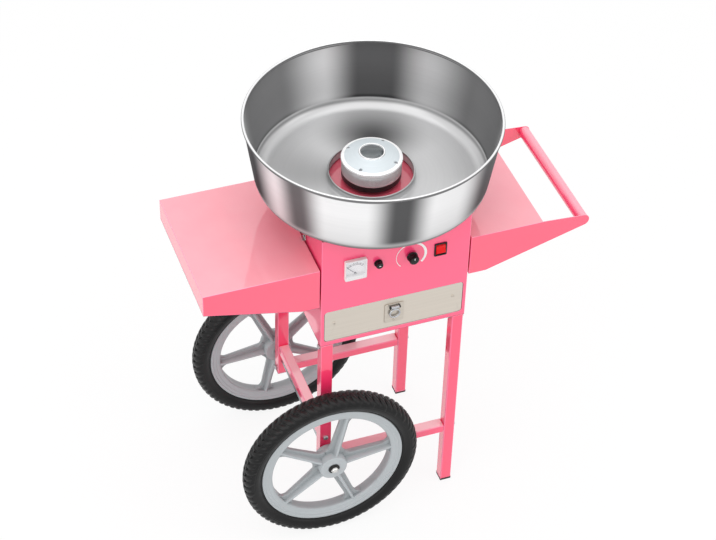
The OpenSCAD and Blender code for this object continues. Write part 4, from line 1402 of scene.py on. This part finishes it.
@dataclass
class Hardware:
    """Bolts, screws and nuts that hold the cart together.

    A fastener's four sizes are its head's radius and height and its shank's radius and length.
    """

    half_depth: float = 155.0
    leg_x: float = 143.5
    leg_out: float = 156.0
    leg_y: float = 142.5
    tray_out: float = 162.5
    tray_y: float = 110.0
    tray_z: Pair = (688.0, 642.0)
    leg_z: Pair = (495.0, 168.0)
    brace_z: float = 233.5
    cover_x: float = 150.5
    cover_z: Triple = (536.0, 647.25, 758.5)
    leg_bolt: Four = (5.8, 4.0, 3.0, 29.0)
    tray_bolt: Four = (5.0, 3.5, 2.5, 9.0)
    cover_screw: Four = (3.6, 2.0, 1.9, 5.0)
    spacer: tuple[Triple, ...] = (
        (2.6, -4.4, 0), (8, -4.4, 0.4), (8, -1.6, 0.4), (2.6, -1.6, 0),
    )

    @staticmethod
    def hex_head(across: float, height: float, shank: float, reach: float) -> Shape:
        """Hexagon head with a broken edge on a flange, and its shank.

        Args:
            across: Corner radius of the hexagon.
            height: Height of the head.
            shank: Radius of the shank.
            reach: Length of the shank.

        Returns:
            The shape with its seat at Z = 0.
        """
        flange, flange_t, sunk, into = 0.98, 0.7, 0.1, 0.3
        broken, broken_t = 0.86, 0.7
        rows = ((1.0, flange_t - sunk), (1.0, height - broken_t), (broken, height))
        shape = Shape().rod(across * flange, 0, flange_t, turns=24)
        shape.sweep([circle(across * share, z, count=6) for share, z in rows])
        return shape.rod(shank, -reach, into, turns=16)

    @staticmethod
    def cross_head(radius: float, height: float, shank: float, reach: float) -> Shape:
        """Domed screw head with a cross recess, and its shank.

        Args:
            radius: Radius of the head.
            height: Height of the head.
            shank: Radius of the shank.
            reach: Length of the shank.

        Returns:
            The shape with its seat at Z = 0.
        """
        ring, deep, taper, into = 24, height * 0.45, 0.8, 0.2
        wide, narrow = radius * 0.55, radius * 0.196
        point, gather, least = 3, 0.85, 0.05
        dome = ((0.0, 1.0), (0.45, 1.0), (0.8, 0.86), (0.96, 0.66))
        cross: list[Pair] = []
        for k in range(ring):
            a = math.tau * k / ring
            fold = math.asin(math.sin(2 * a)) / 2
            near = abs(math.cos(2 * a)) ** point
            size = narrow + (wide - narrow) * near
            angle = a - fold * gather if near > least else a
            cross.append((size * math.cos(angle), size * math.sin(angle)))
        sections = [circle(radius * share, height * z, ring) for z, share in dome]
        sections.append([(x, y, height) for x, y in cross])
        sections.append([(x * taper, y * taper, height - deep) for x, y in cross])
        return Shape().sweep(sections).rod(shank, -reach, into, turns=12)

    def bolts(self) -> list[Spot]:
        """Places of the frame's bolts.

        Returns:
            Seat and direction of each bolt.
        """
        out: list[Spot] = []
        for side in BOTH_SIDES:
            for y, z in product((-self.leg_y, self.leg_y), self.leg_z):
                out.append((Vector((side * self.leg_out, y, z)), Vector((side, 0, 0))))
            brace = Vector((-self.leg_x, side * self.half_depth, self.brace_z))
            out.append((brace, Vector((0, side, 0))))
        return out

    def build(self) -> None:
        """Makes the fasteners of the frame, the trays and the rear cover."""
        leg_bolt = self.hex_head(*self.leg_bolt)
        bolts = Repeat.on_spots(leg_bolt, self.bolts(), Coat.ZINC, seed=3)
        show(bolts, "frame_bolt_set", Coat.ZINC, "frame_bolts")
        trays = [
            (Vector((side * self.tray_out, y, z)), Vector((side, 0, 0)))
            for side, y, z in product(BOTH_SIDES, (-self.tray_y, self.tray_y), self.tray_z)
        ]
        covers = [
            (Vector((side * self.cover_x, self.half_depth, z)), Vector((0, 1, 0)))
            for side, z in product(BOTH_SIDES, self.cover_z)
        ]
        spacer = rounded(self.spacer, steps=2)
        tray_bolt = self.hex_head(*self.tray_bolt).lathe(spacer, turns=24)
        meshes = [
            Repeat.on_spots(tray_bolt, trays, Coat.ZINC, seed=5),
            Repeat.on_spots(self.cross_head(*self.cover_screw), covers, Coat.ZINC, seed=9),
        ]
        name = "cabinet_fastener_set"
        show(joined(name, *meshes), name, Coat.ZINC, "cabinet_fasteners")


@dataclass
class Spoke:
    """A moulded spoke: a flange with soft edges and a rib on both faces.

    Its sections stand in three rows, each with a first distance, a step and a count.
    """

    start: float
    stop: float
    count: int
    rib_tall: Pair
    hub_row: Row = (-5.0, 2.2, 12)
    arm_row: Row = (22.0, 6.6, 9)
    rim_row: Row = (0.0, 1.6, 15)
    sunk: float = 1.2
    half: float = 13.2
    taper: float = 2.8
    flare: float = 23.0
    foot: float = 19.0
    web: float = 4.8
    soft: float = 2.6
    rib_half: float = 2.2
    rib_slope: float = 2.9
    rib_crown: float = 0.5
    rib_cap: Pair = (2.4, 0.6)
    least: float = 6.4
    inner: tuple[float, ...] = (0.0, 1.4, 2.3, 2.9, 3.4, 4.0, 4.8, 6.0)
    edge: tuple[float, ...] = (3.0, 1.9, 1.1, 0.5, 0.12, 0.0)

    def stations(self) -> list[float]:
        """Sets the sections closest where the spoke flares.

        Returns:
            Their distances from the axle.
        """
        flared = self.stop - self.flare
        rows = ((self.start, self.hub_row), (self.start, self.arm_row), (flared, self.rim_row))
        out = [
            base + first + k * step for base, (first, step, count) in rows for k in range(count)
        ]
        return [*out, self.stop + self.sunk]

    def half_width(self, x: float) -> float:
        """Half width of the spoke, flared at the hub and at the rim.

        Args:
            x: Distance from the axle.

        Returns:
            The half width in millimetres.
        """
        width = self.half - self.taper * (x - self.start) / (self.stop - self.start)
        inward = x - (self.stop - self.flare), self.start + self.foot - x
        for reach, radius in zip(inward, (self.flare, self.foot)):
            if reach > 0:
                width += radius - math.sqrt(max(0.0, radius**2 - min(reach, radius) ** 2))
        return min(width, x * math.tan(math.pi / self.count))

    def height(self, y: float, width: float, tall: float) -> float:
        """Half thickness of a section.

        Args:
            y: Distance from the spoke's middle.
            width: Half width of the section.
            tall: Half thickness at the rib.

        Returns:
            The half thickness in millimetres.
        """
        gap = max(0.0, min(self.soft, width - y))
        level = self.web - self.soft
        level += math.sqrt(max(0.0, self.soft**2 - (self.soft - gap) ** 2))
        t = min(1.0, max(0.0, (y - self.rib_half) / self.rib_slope))
        flat, drop = self.rib_cap
        cap = tall - (self.rib_crown * (y / self.rib_half) ** 2 if y < flat else drop)
        return level + (cap - level) * (1 - t * t * (3 - 2 * t))

    def shape(self) -> Shape:
        """The spoke along local X.

        Returns:
            The spoke.
        """
        sections = []
        for x in self.stations():
            width = self.half_width(x)
            share = (x - self.start) / (self.stop - self.start)
            tall = self.rib_tall[0] + (self.rib_tall[1] - self.rib_tall[0]) * share
            steps = [*self.inner, *(max(self.least, width - d) for d in self.edge)]
            half = [(y, self.height(y, width, tall)) for y in steps]
            top = [(x, -y, z) for y, z in reversed(half)] + [(x, y, z) for y, z in half[1:]]
            sections.append(top + [(px, py, -pz) for px, py, pz in reversed(top)])
        return Shape().sweep(sections)


@dataclass
class Wheel:
    """A tyre with a lugged tread on a moulded five-spoke rim.

    Steps of the sidewall are a radius and an inset from the tyre's half width. Steps of a lug
    add its thickness and half width. Steps of the rim and the hub are two insets and a radius,
    and their faces are counted along a corner and around.
    """

    end: str
    side: float
    turn: float
    axle_x: float = -143.5
    axle_z: float = 194.0
    mid_y: float = 188.0
    tyre_half: float = 24.0
    tyre_turns: int = 160
    sidewall: tuple[Pair, ...] = (
        (157.05, 10.5), (158.4, 7.4), (160.0, 6.7), (161.2, 6.8), (162.2, 5.4), (166.0, 2.6),
        (170.5, 0.9), (174.5, 0.5), (175.2, 0.9), (176.2, 0.9), (177.0, 0.5), (180.0, 1.0),
        (183.4, 2.6), (186.8, 5.8), (189.0, 10.6), (190.4, 16.0), (190.6, 19.0), (192.4, 21.0),
        (192.7, 23.0),
    )
    lugs: int = 35
    lead: float = 5.2
    curl: float = 1.2
    stagger: float = 0.5
    lug_steps: tuple[Four, ...] = (
        (175.6, 0.9, 0.2, 1.8), (178.6, 0.3, 1.2, 4.6), (184.4, 2.0, 2.6, 6.1),
        (188.6, 5.6, 3.2, 6.5), (191.9, 10.6, 3.4, 6.2), (193.6, 16.2, 3.5, 5.4),
        (193.95, 27.4, 3.6, 3.0),
    )
    short_steps: tuple[Four, ...] = ((181.8, 2.6, 1.4, 2.0), (182.8, 1.7, 2.0, 4.4))
    lug_root: float = 1.6
    lug_foot: float = 0.8
    lug_section: tuple[Pair, ...] = ((0.3, 1.0), (0.06, 0.72), (0.0, 0.35))
    lug_aim: float = 170.0
    rim_r: float = 157.0
    rim_in: float = 135.0
    rim_half: float = 16.0
    rim_steps: tuple[Triple, ...] = (
        (0.0, 0.0, 0.6), (5.5, 0.0, 1.0), (6.3, 1.4, 0.5), (12.0, 1.2, 2.0), (14.0, 2.4, 1.2),
        (24.6, 3.2, 4.2),
    )
    rim_waist: Pair = (134.4, 40.0)
    rim_faces: tuple[int, int] = (5, 160)
    hub_r: float = 30.5
    hub_half: float = 23.0
    hub_steps: tuple[Triple, ...] = (
        (21.4, 0.0, 0.5), (16.0, 0.0, 0.5), (15.3, 0.8, 0.4), (0.6, 0.8, 1.6),
    )
    hub_waist: Pair = (31.3, 20.0)
    hub_faces: tuple[int, int] = (4, 96)
    spokes: int = 5
    rib_drop: Pair = (4.5, 3.6)

    def place(self) -> Matrix:
        """Placing of the wheel's axis, with local Z towards the front."""
        return facing_front(self.axle_x, self.side * self.mid_y, self.axle_z)

    def carcass(self) -> Shape:
        """The tyre below its tread, with a bead and two rings on each sidewall.

        Returns:
            The tyre in its place.
        """
        wall = [(r, self.tyre_half - inset) for r, inset in self.sidewall]
        lower = [(r, -z) for r, z in reversed(wall)]
        return Shape().lathe(wall + lower, self.tyre_turns, self.place())

    def lug(self, side: float, short: bool) -> Shape:
        """One tread lug that runs from the shoulder over the crown.

        Args:
            side: 1 for the lugs towards the front, -1 for the others.
            short: True for a lug that starts higher on the shoulder.

        Returns:
            The shape at angle 0 about the wheel's axis.
        """
        steps = [*self.short_steps, *self.lug_steps[2:]] if short else self.lug_steps
        sections = []
        for i, (radius, inset, thick, wide) in enumerate(steps):
            height = self.tyre_half - inset
            mid = math.radians(self.lead * (i / (len(steps) - 1)) ** self.curl)
            root = Vector((radius - self.lug_aim, height)).normalized() * (thick + self.lug_root)
            rows = [(1.0, wide + self.lug_foot)]
            rows += [(drop, wide * share) for drop, share in self.lug_section]
            ring = []
            for drop, w in rows:
                r, z = radius - drop * root.x, height - drop * root.y
                ring.append((r, z, math.atan2(w, r)))
            around = [(r, z, mid - spread) for r, z, spread in ring]
            around += [(r, z, mid + spread) for r, z, spread in reversed(ring)]
            sections.append([(r * math.cos(a), r * math.sin(a), side * z) for r, z, a in around])
        return Shape().sweep(sections)

    def rim(self) -> Shape:
        """The rim's ring and the hub.

        Returns:
            Both in their place.
        """
        parts = (
            (self.rim_r, self.rim_half, self.rim_steps, self.rim_waist, self.rim_faces),
            (self.hub_r, self.hub_half, self.hub_steps, self.hub_waist, self.hub_faces),
        )
        shape = Shape()
        for radius, half, steps, (waist, bend), (fine, turns) in parts:
            lower = [(radius - a, b - half, corner) for a, b, corner in steps]
            outline = rounded(mirrored(lower, (waist, 0.0, bend)), fine)
            shape.lathe(outline, turns, self.place())
        return shape

    def build(self) -> None:
        """Makes the tyre and the rim, and finishes the bush."""
        place = self.place()
        treads = [self.carcass().mesh("carcass")]
        for side, short in product((1.0, -1.0), (False, True)):
            steps = float(short) + (self.stagger if side < 0 else 0.0)
            phase = steps * math.pi / self.lugs
            treads.append(Repeat.around(self.lug(side, short), self.lugs, Coat.TYRE, place, phase))
        name = f"{self.end}_tyre_tread"
        show(joined(name, *treads), name, Coat.TYRE, f"{self.end}_tyre")
        tall = (self.hub_half - self.rib_drop[0], self.rim_half - self.rib_drop[1])
        spoke = Spoke(self.hub_r, self.rim_in, self.spokes, tall).shape()
        arms = Repeat.around(spoke, self.spokes, Coat.WHEEL, place, math.radians(self.turn))
        name = f"{self.end}_rim_cast"
        show(joined(name, self.rim().mesh("ring"), arms), name, Coat.WHEEL, f"{self.end}_rim")
        paint(Coat.BLACK, f"{self.end}_bush")


@dataclass
class Axle:
    """The axle with its spacers, washers and cap nuts."""

    edge: float = 0.5

    def build(self) -> None:
        """Makes the axle's pieces."""
        paint(Coat.ZINC, "axle")
        skin("axle_spacers", Coat.BLACK, self.edge)
        skin("axle_nuts", Coat.CHROME, self.edge)


@dataclass
class Bowl:
    """Spun bowl with a rolled rim, its seal and its clips."""

    floor: float = 793.0
    top: float = 947.0
    rim_r: float = 260.0
    bead: float = 3.0
    bead_arc: Pair = (-80.0, 200.0)
    bead_steps: int = 14
    turns: int = 256
    foot_r: float = 238.0
    corner: float = 28.0
    corner_steps: int = 14
    wall_parts: int = 6
    steel: float = 1.2
    seam: float = 0.4
    hole_r: float = 86.0
    hole_flat: Pair = (20.0, 8.0)
    floor_mid: float = 150.0
    collar: float = 811.0
    collar_foot: float = 5.0
    collar_bead: float = 1.6
    collar_arc: Pair = (-70.0, 250.0)
    collar_steps: tuple[int, int] = (5, 11)
    catch_x: float = 161.0
    catch_y: float = 55.0
    catch_half: float = 7.0
    catch_corner: float = 3.0
    catch_t: float = 2.0
    catch_root: float = 0.6
    peg_z: float = 780.0
    peg: tuple[Pair, ...] = ((0, 0), (3, 0), (3, 2.8), (2.5, 3.3), (0, 3.3))
    edge: float = 0.6

    def profile(self) -> list[Pair]:
        """Draws the bowl's section, up the outside and down the inside.

        Returns:
            Radius and height of its points.
        """
        rim, high = self.rim_r - self.bead, self.top - self.bead
        centre = self.foot_r - self.corner, self.floor + self.corner
        lean = math.atan((rim - self.foot_r) / (high - centre[1]))
        steps, thin = self.corner_steps, self.corner - self.steel
        outer = arc(centre, self.corner, -QUARTER, -lean, steps)
        inner = arc(centre, thin, -lean, -QUARTER, steps)
        bead_turn, roll_turn = (map(math.radians, a) for a in (self.bead_arc, self.collar_arc))
        bead = arc((rim, high), self.bead, *bead_turn, self.bead_steps)
        up = between(outer[-1], (rim, high - self.bead), self.wall_parts)
        turned = (rim - self.steel - self.seam, high - self.bead)
        down = between(turned, inner[0], self.wall_parts)
        low, lip, foot = self.floor + self.steel, self.hole_r + self.steel, self.collar_foot
        under = [self.hole_r, self.hole_r + self.hole_flat[0], self.floor_mid]
        above = [self.floor_mid, lip + self.hole_flat[1]]
        rise_steps, roll_steps = self.collar_steps
        rise = arc((lip + foot, low + foot), foot, -QUARTER, -math.pi, rise_steps)
        roll = arc((lip, self.collar), self.collar_bead, *roll_turn, roll_steps)
        return [
            *((r, self.floor) for r in under), *outer, *up, *bead, *down, *inner,
            *((r, low) for r in above), *rise, *roll,
        ]

    def catches(self, shape: Shape) -> None:
        """Adds the two catch tabs with their pegs.

        Args:
            shape: The bowl's shape.
        """
        x, y, z, half = -self.catch_x, -self.catch_y, self.peg_z, self.catch_half
        top, corner = self.floor + self.catch_root, self.catch_corner
        tab = rounded(
            [(y - half, z - half, corner), (y + half, z - half, corner), (y + half, top, 0),
             (y - half, top, 0)],
            steps=5,
        )
        middle = Matrix.Translation((x - self.catch_t / 2, y, z))
        for turn in (0.0, math.pi):
            spin = Matrix.Rotation(turn, 4, "Z")
            shape.sweep([[(px, py, pz) for py, pz in tab] for px in (x - self.catch_t, x)], spin)
            shape.lathe(self.peg, place=spin @ middle @ Matrix.Rotation(QUARTER, 4, "Y"), turns=24)

    def build(self) -> None:
        """Makes the bowl with its catches, the clips and the seal."""
        shape = Shape().lathe(self.profile(), self.turns)
        self.catches(shape)
        show(shape.mesh("bowl_spun"), "bowl_spun", Coat.BOWL, "bowl")
        skin("left_clip", Coat.CHROME, self.edge)
        skin("right_clip", Coat.CHROME, self.edge)
        skin("bowl_gasket", Coat.SEAL, self.edge)


@dataclass
class Head:
    """Spinning head: base, slotted band, conical cover and its screws."""

    band_z: float = 814.0
    cover_z: float = 842.0
    edge_z: float = 846.0
    band_r: float = 61.0
    band_t: float = 1.2
    hoop: float = 5.0
    hoop_edge: float = 0.3
    bars: int = 150
    bar_share: float = 0.86
    bar_root: float = 4.6
    screw_ring: float = 53.0
    screws: int = 4
    screw: Four = (3.5, 2.2, 1.8, 37.0)
    dish_r: float = 57.0
    dish_facing: float = -0.2
    base_edge: float = 1.0
    cover_edge: float = 0.9
    cover_skip: float = 1.5

    def band(self) -> Mesh:
        """The band: two hoops joined by upright bars with fine slits between them.

        Returns:
            The mesh in the row frame.
        """
        outer, inner, soft = self.band_r, self.band_r - self.band_t, self.hoop_edge
        hoops = Shape()
        for low in (self.band_z, self.cover_z - self.hoop):
            high = low + self.hoop
            ring = [(inner, low, 0), (outer, low, soft), (outer, high, soft), (inner, high, 0)]
            hoops.lathe(rounded(ring, steps=3), self.bars)
        half = math.pi / self.bars * self.bar_share
        around = ((inner, -half), (outer, -half), (outer, half), (inner, half))
        outline = [(r * math.cos(a), r * math.sin(a)) for r, a in around]
        bar = Shape().prism(outline, self.band_z + self.bar_root, self.cover_z - self.bar_root)
        bars = Repeat.around(bar, self.bars, Coat.BAND, Matrix.Identity(4))
        return joined("floss_band_slit", hoops.mesh("hoops"), bars)

    def in_dish(self, face: bpy.types.MeshPolygon) -> bool:
        """Tells if a face of the base lies in the sugar dish."""
        inside = (face.center - Vector((CENTRE_X, 0, 0))).xy.length < self.dish_r / MM
        return inside and face.normal.z > self.dish_facing

    def build(self) -> None:
        """Makes the head's pieces."""
        paint(Coat.ZINC, "spinner_shaft", "motor_plate", "motor_housing")
        paint(Coat.BRASS, "slip_rings", "brush_gear")
        paint(Coat.DISH, "heater_element")
        paint(Coat.SEAL, "motor_dampers")
        repaint(skin("head_base", Coat.HEAD, self.base_edge), Coat.DISH, self.in_dish)
        show(self.band(), "floss_band_slit", Coat.BAND, "floss_band")
        # The cover's rounded edges get a painted highlight.
        skin("head_cover", Coat.ALLOY, self.cover_edge, Coat.EDGE_HIGHLIGHT, self.cover_skip)
        turns = [math.tau * (k + 0.5) / self.screws for k in range(self.screws)]
        ring, up = self.screw_ring, Vector((0, 0, 1))
        spots = [
            (Vector((ring * math.cos(a), ring * math.sin(a), self.edge_z)), up) for a in turns
        ]
        screws = Repeat.on_spots(Hardware.cross_head(*self.screw), spots, Coat.ZINC, seed=2)
        show(screws, "head_screw_set", Coat.ZINC, "head_screws")


@dataclass
class Drawer:
    """Drawer with a satin front and a hinged pull ring."""

    face_y: float = -154.4
    screw_x: float = 129.0
    screw_z: float = 564.0
    screw: Four = (3.4, 1.7, 2.0, 5.5)
    pull_screw_z: float = 538.0
    pull_screw: Four = (3.0, 1.6, 2.0, 7.5)
    pull_t: float = 2.0
    knuckle_y: float = -157.5
    front_edge: float = 0.7
    box_edge: float = 0.6
    plate_edge: float = 0.8
    ring_edge: float = 0.5

    def on_knuckle(self, face: bpy.types.MeshPolygon) -> bool:
        """Tells if a face of the pull's plate lies on its knuckles."""
        return face.center.y < self.knuckle_y / MM

    def build(self) -> None:
        """Makes the drawer's pieces."""
        skin("drawer_front", Coat.SATIN, self.front_edge, Coat.CHROME)
        skin("drawer_box", Coat.ZINC, self.box_edge)
        repaint(skin("pull_plate", Coat.NICKEL, self.plate_edge), Coat.BLACK, self.on_knuckle)
        skin("pull_ring", Coat.ZINC, self.ring_edge)
        out, y = Vector((0, -1, 0)), self.face_y
        spots = [(Vector((side * self.screw_x, y, self.screw_z)), out) for side in BOTH_SIDES]
        pull = [(Vector((0, y - self.pull_t, self.pull_screw_z)), out)]
        meshes = [
            Repeat.on_spots(Hardware.cross_head(*self.screw), spots, Coat.NICKEL, seed=4),
            Repeat.on_spots(Hardware.cross_head(*self.pull_screw), pull, Coat.NICKEL, seed=6),
        ]
        name = "drawer_screw_set"
        show(joined(name, *meshes), name, Coat.NICKEL, "drawer_screws")


@dataclass(frozen=True)
class Knob:
    """A ribbed cap or knob with a light mark on its end.

    Steps of the skirt are an inset from the radius and a height, steps of the end an inset and
    a drop from the end. A rib has the insets of its root and top, and its half widths there.
    """

    node: str
    mark_name: str
    x: float
    lift: float
    radius: float
    length: float
    stem: Pair
    skirt: tuple[Pair, ...]
    end: tuple[Pair, ...]
    turns: int
    rib: Four
    rib_z: Pair
    ribs: int
    mark: Four
    mark_z: Pair

    def body(self, place: Matrix) -> Mesh:
        """The turned body on its stem.

        Args:
            place: Placing of the axis.

        Returns:
            The mesh in the row frame.
        """
        stem, deep = self.stem
        profile = [(0, deep), (stem, deep), (stem, 0)]
        profile += [(self.radius - inset, z) for inset, z in self.skirt]
        profile += [(self.radius - inset, self.length - drop) for inset, drop in self.end]
        return Shape().lathe(profile, self.turns, place).mesh("body")

    def build(self, front: float, height: float) -> None:
        """Makes the body with its ribs, and the mark.

        Args:
            front: Y of the panel.
            height: Z of the axis.
        """
        place = facing_front(self.x, front - self.lift, height)
        root, top = (self.radius - inset for inset in self.rib[:2])
        wide, narrow = self.rib[2:]
        outline = [(root, -wide), (top, -narrow), (top, narrow), (root, wide)]
        rib = Shape().prism(outline, self.rib_z[0], self.length - self.rib_z[1])
        ribs = Repeat.around(rib, self.ribs, Coat.BLACK, place)
        name = f"{self.node}_ribbed"
        show(joined(name, self.body(place), ribs), name, Coat.BLACK, self.node)
        low, high = (self.length + z for z in self.mark_z)
        mark = Shape().prism(rectangle(*self.mark), low, high, place)
        show(mark.mesh(self.mark_name), self.mark_name, Coat.WHITE, self.node, stands=False)


@dataclass
class Panel:
    """Voltmeter, fuse, heat knob and switch on the front."""

    front: float = -155.0
    row_z: float = 703.0
    meter_parts: tuple[tuple[str, Coat, float], ...] = (
        ("meter_case", Coat.WHITE, 0.9),
        ("meter_dial", Coat.WHITE, 0.1),
        ("meter_needle", Coat.BLACK, 0.15),
        ("meter_lens", Coat.CLEAR, 0.4),
    )
    meter_x: float = -88.0
    pivot_z: float = 692.0
    dial_lift: float = 2.1
    mark_z: Pair = (-0.05, 0.12)
    scale_start: float = 46.0
    scale_sweep: float = 88.0
    scale_bow: Pair = (20.8, 21.7)
    bow_steps: int = 24
    long_mark: Triple = (21.4, 27.0, 0.5)
    long_marks: int = 5
    short_mark: Triple = (23.6, 26.0, 0.25)
    short_marks: int = 25
    holder_edge: float = 0.5
    bezel_edge: float = 0.9
    rocker_edge: float = 0.7
    fuse: Knob = Knob(
        "fuse_cap", "fuse_cap_slot", x=-39.0, lift=2.8, radius=7.1, length=9.0,
        stem=(3.9, -12.0), skirt=((0.0, 0.0),),
        end=((0.0, 1.4), (0.4, 0.5), (1.2, 0.0), (5.1, 0.0), (5.5, 0.6), (7.1, 0.6)),
        turns=64, rib=(0.4, -0.5, 0.36, 0.2), rib_z=(0.4, 1.8), ribs=24,
        mark=(-4.6, 4.6, -0.7, 0.7), mark_z=(-0.3, -0.02),
    )
    knob: Knob = Knob(
        "control_knob", "control_knob_mark", x=32.0, lift=3.3, radius=11.5, length=16.0,
        stem=(3.0, -11.0),
        skirt=((0.5, 0.0), (0.0, 0.5), (0.0, 2.4), (0.6, 3.0), (1.6, 3.2), (2.0, 3.8)),
        end=((2.3, 1.8), (2.7, 0.7), (3.6, 0.1), (4.6, 0.0), (11.5, 0.0)),
        turns=96, rib=(2.6, 1.25, 0.5, 0.3), rib_z=(3.3, 2.0), ribs=30,
        mark=(-0.6, 0.6, 2.2, 7.1), mark_z=(-0.1, 0.08),
    )

    def turn(self, share: float) -> float:
        """Angle in radians at a share of the meter's scale."""
        return math.radians(self.scale_start + self.scale_sweep * share)

    def marks(self, mark: Triple, parts: int, place: Matrix) -> Mesh:
        """Marks of the meter's scale.

        Args:
            mark: Inner radius, outer radius and half width.
            parts: Parts that the marks divide the scale into.
            place: Placing of the dial's pivot.

        Returns:
            The mesh in the row frame.
        """
        inner, outer, half = mark
        shape = Shape().prism(rectangle(inner, outer, -half, half), *self.mark_z)
        start, count = self.turn(0.0), parts + 1
        sweep = self.turn(count / parts) - start
        return Repeat.around(shape, count, Coat.BLACK, place, start, sweep)

    def meter(self) -> None:
        """Makes the meter's case, dial, scale, pointer and cover."""
        for node, coat, edge in self.meter_parts:
            skin(node, coat, edge)
        place = facing_front(self.meter_x, self.front - self.dial_lift, self.pivot_z)
        turns = [self.turn(k / self.bow_steps) for k in range(self.bow_steps + 1)]
        outline = rectangle(*self.scale_bow, *self.mark_z)
        bow = Shape().sweep(
            [[(r * math.cos(a), r * math.sin(a), z) for r, z in outline] for a in turns]
        )
        line = bow.mesh("bow", local=True)
        line.transform(in_row(place))
        marks = [
            self.marks(self.long_mark, self.long_marks, place),
            self.marks(self.short_mark, self.short_marks, place),
            line,
        ]
        show(joined("meter_scale", *marks), "meter_scale", Coat.BLACK, "meter_dial", stands=False)

    def build(self) -> None:
        """Makes the panel's pieces."""
        self.meter()
        skin("fuse_holder", Coat.BLACK, self.holder_edge)
        self.fuse.build(self.front, self.row_z)
        paint(Coat.BLACK, "heat_control")
        paint(Coat.WHITE, "dial_ring")
        self.knob.build(self.front, self.row_z)
        skin("switch_housing", Coat.BLACK, self.bezel_edge)
        skin("rocker", Coat.RED, self.rocker_edge)


@dataclass(frozen=True)
class Lamp:
    """A square soft lamp: its place and side in metres and its power in watts."""

    name: str
    place: Triple
    size: float
    power: float

    def build(self, aim: Triple) -> None:
        """Hangs the lamp.

        Args:
            aim: Point that it looks at, in metres.
        """
        data = bpy.data.lights.new(self.name, "AREA")
        data.shape = "SQUARE"
        data.size = self.size
        data.energy = self.power
        obj = link(self.name, data)
        obj.location = self.place
        obj.rotation_mode = "QUATERNION"
        obj.rotation_quaternion = (Vector(aim) - Vector(self.place)).to_track_quat("-Z", "Y")


@dataclass
class Studio:
    """Pale floor, soft light, white background and the camera."""

    location: Triple = (-1.16988, -2.96802, 3.41342)
    yaw: float = 0.366
    pitch: float = 0.734
    roll: float = 0.031
    lens: float = 102.8
    sensor: float = 36.0
    far: float = 60.0
    floor_half: float = 20.0
    floor_grey: Colour = (0.9, 0.9, 0.9)
    floor_share: float = 0.88
    ambient: float = 0.84
    white: Colour = (1.0, 1.0, 1.0)
    aim: Triple = (0.0, 0.0, 0.6)
    lamps: tuple[Lamp, ...] = (
        Lamp("Overhead", (-0.5, -0.8, 4.4), 5.0, 84.0),
        Lamp("Left", (-3.4, -2.2, 2.2), 2.4, 30.0),
        Lamp("Right", (3.0, -2.0, 2.2), 2.0, 16.0),
    )

    def camera(self) -> None:
        """Makes the camera at the photograph's viewing angle."""
        up_axis = Vector((0, 0, 1))
        ahead = Vector((math.sin(self.yaw), math.cos(self.yaw), 0))
        right = Vector((math.cos(self.yaw), -math.sin(self.yaw), 0))
        look = math.cos(self.pitch) * ahead - math.sin(self.pitch) * up_axis
        up = math.sin(self.pitch) * ahead + math.cos(self.pitch) * up_axis
        side = math.cos(self.roll) * right + math.sin(self.roll) * up
        top = -math.sin(self.roll) * right + math.cos(self.roll) * up
        turn = Matrix((side, top, -look)).transposed().to_4x4()
        data = bpy.data.cameras.new("Camera")
        data.lens = self.lens
        data.sensor_width = self.sensor
        data.clip_end = self.far
        obj = link("Camera", data)
        obj.matrix_world = Matrix.Translation(self.location) @ turn
        bpy.context.scene.camera = obj

    @staticmethod
    def seen(graph: Graph) -> Socket:
        """Tells the rays that show the background from those that only light.

        Args:
            graph: Nodes of the world or of a material.

        Returns:
            Socket that is 1 for rays that show it.
        """
        path = graph.add("ShaderNodeLightPath").outputs
        mirrored_ray = graph.calc("MAXIMUM", path["Is Glossy Ray"], path["Is Transmission Ray"])
        return graph.calc("MAXIMUM", path["Is Camera Ray"], mirrored_ray)

    def world(self) -> None:
        """Makes the surroundings: white where they are seen, softer where they light."""
        world = bpy.data.worlds.new("Studio")
        world.use_nodes = True
        bpy.context.scene.world = world
        graph = Graph(world.node_tree)
        graph.tree.nodes.clear()
        strength = graph.ramp(self.seen(graph), (self.ambient, 1.0))
        back = graph.add("ShaderNodeBackground", None, Color=self.white, Strength=strength)
        graph.add("ShaderNodeOutputWorld", None, Surface=back.outputs[0])

    def floor(self) -> None:
        """Makes the pale floor, white to the camera apart from a faint shadow."""
        half = self.floor_half
        data = bpy.data.meshes.new("floor")
        corners = [(x, y, 0) for x, y in rectangle(-half, half, -half, half)]
        data.from_pydata(corners, [], [(0, 1, 2, 3)])
        made = bpy.data.materials.new("Pale floor")
        made.use_nodes = True
        graph = Graph(made.node_tree)
        graph.tree.nodes.clear()
        matte = graph.add("ShaderNodeBsdfDiffuse", None, Color=self.floor_grey).outputs[0]
        white = graph.add("ShaderNodeEmission", None, Color=self.white, Strength=1.0).outputs[0]
        share = graph.calc("MULTIPLY", self.seen(graph), self.floor_share)
        mixed = graph.add("ShaderNodeMixShader", None, i0=share, i1=matte, i2=white)
        graph.add("ShaderNodeOutputMaterial", None, Surface=mixed.outputs[0])
        data.materials.append(made)
        link("floor", data)

    def build(self) -> None:
        """Makes the whole studio."""
        bpy.context.scene.view_settings.view_transform = "Standard"
        self.camera()
        self.world()
        self.floor()
        for lamp in self.lamps:
            lamp.build(self.aim)


def main() -> None:
    """Builds the cart piece by piece, then the studio."""
    logging.basicConfig(level=logging.INFO, format="%(name)s %(message)s")
    assemblies = (
        Cabinet(),
        Hardware(),
        Wheel("front", -1.0, 4.0),
        Wheel("rear", 1.0, 42.0),
        Axle(),
        Bowl(),
        Head(),
        Drawer(),
        Panel(),
        Studio(),
    )
    for assembly in assemblies:
        LOG.info("building %s", type(assembly).__name__)
        assembly.build()


if __name__ == "__main__":
    main()
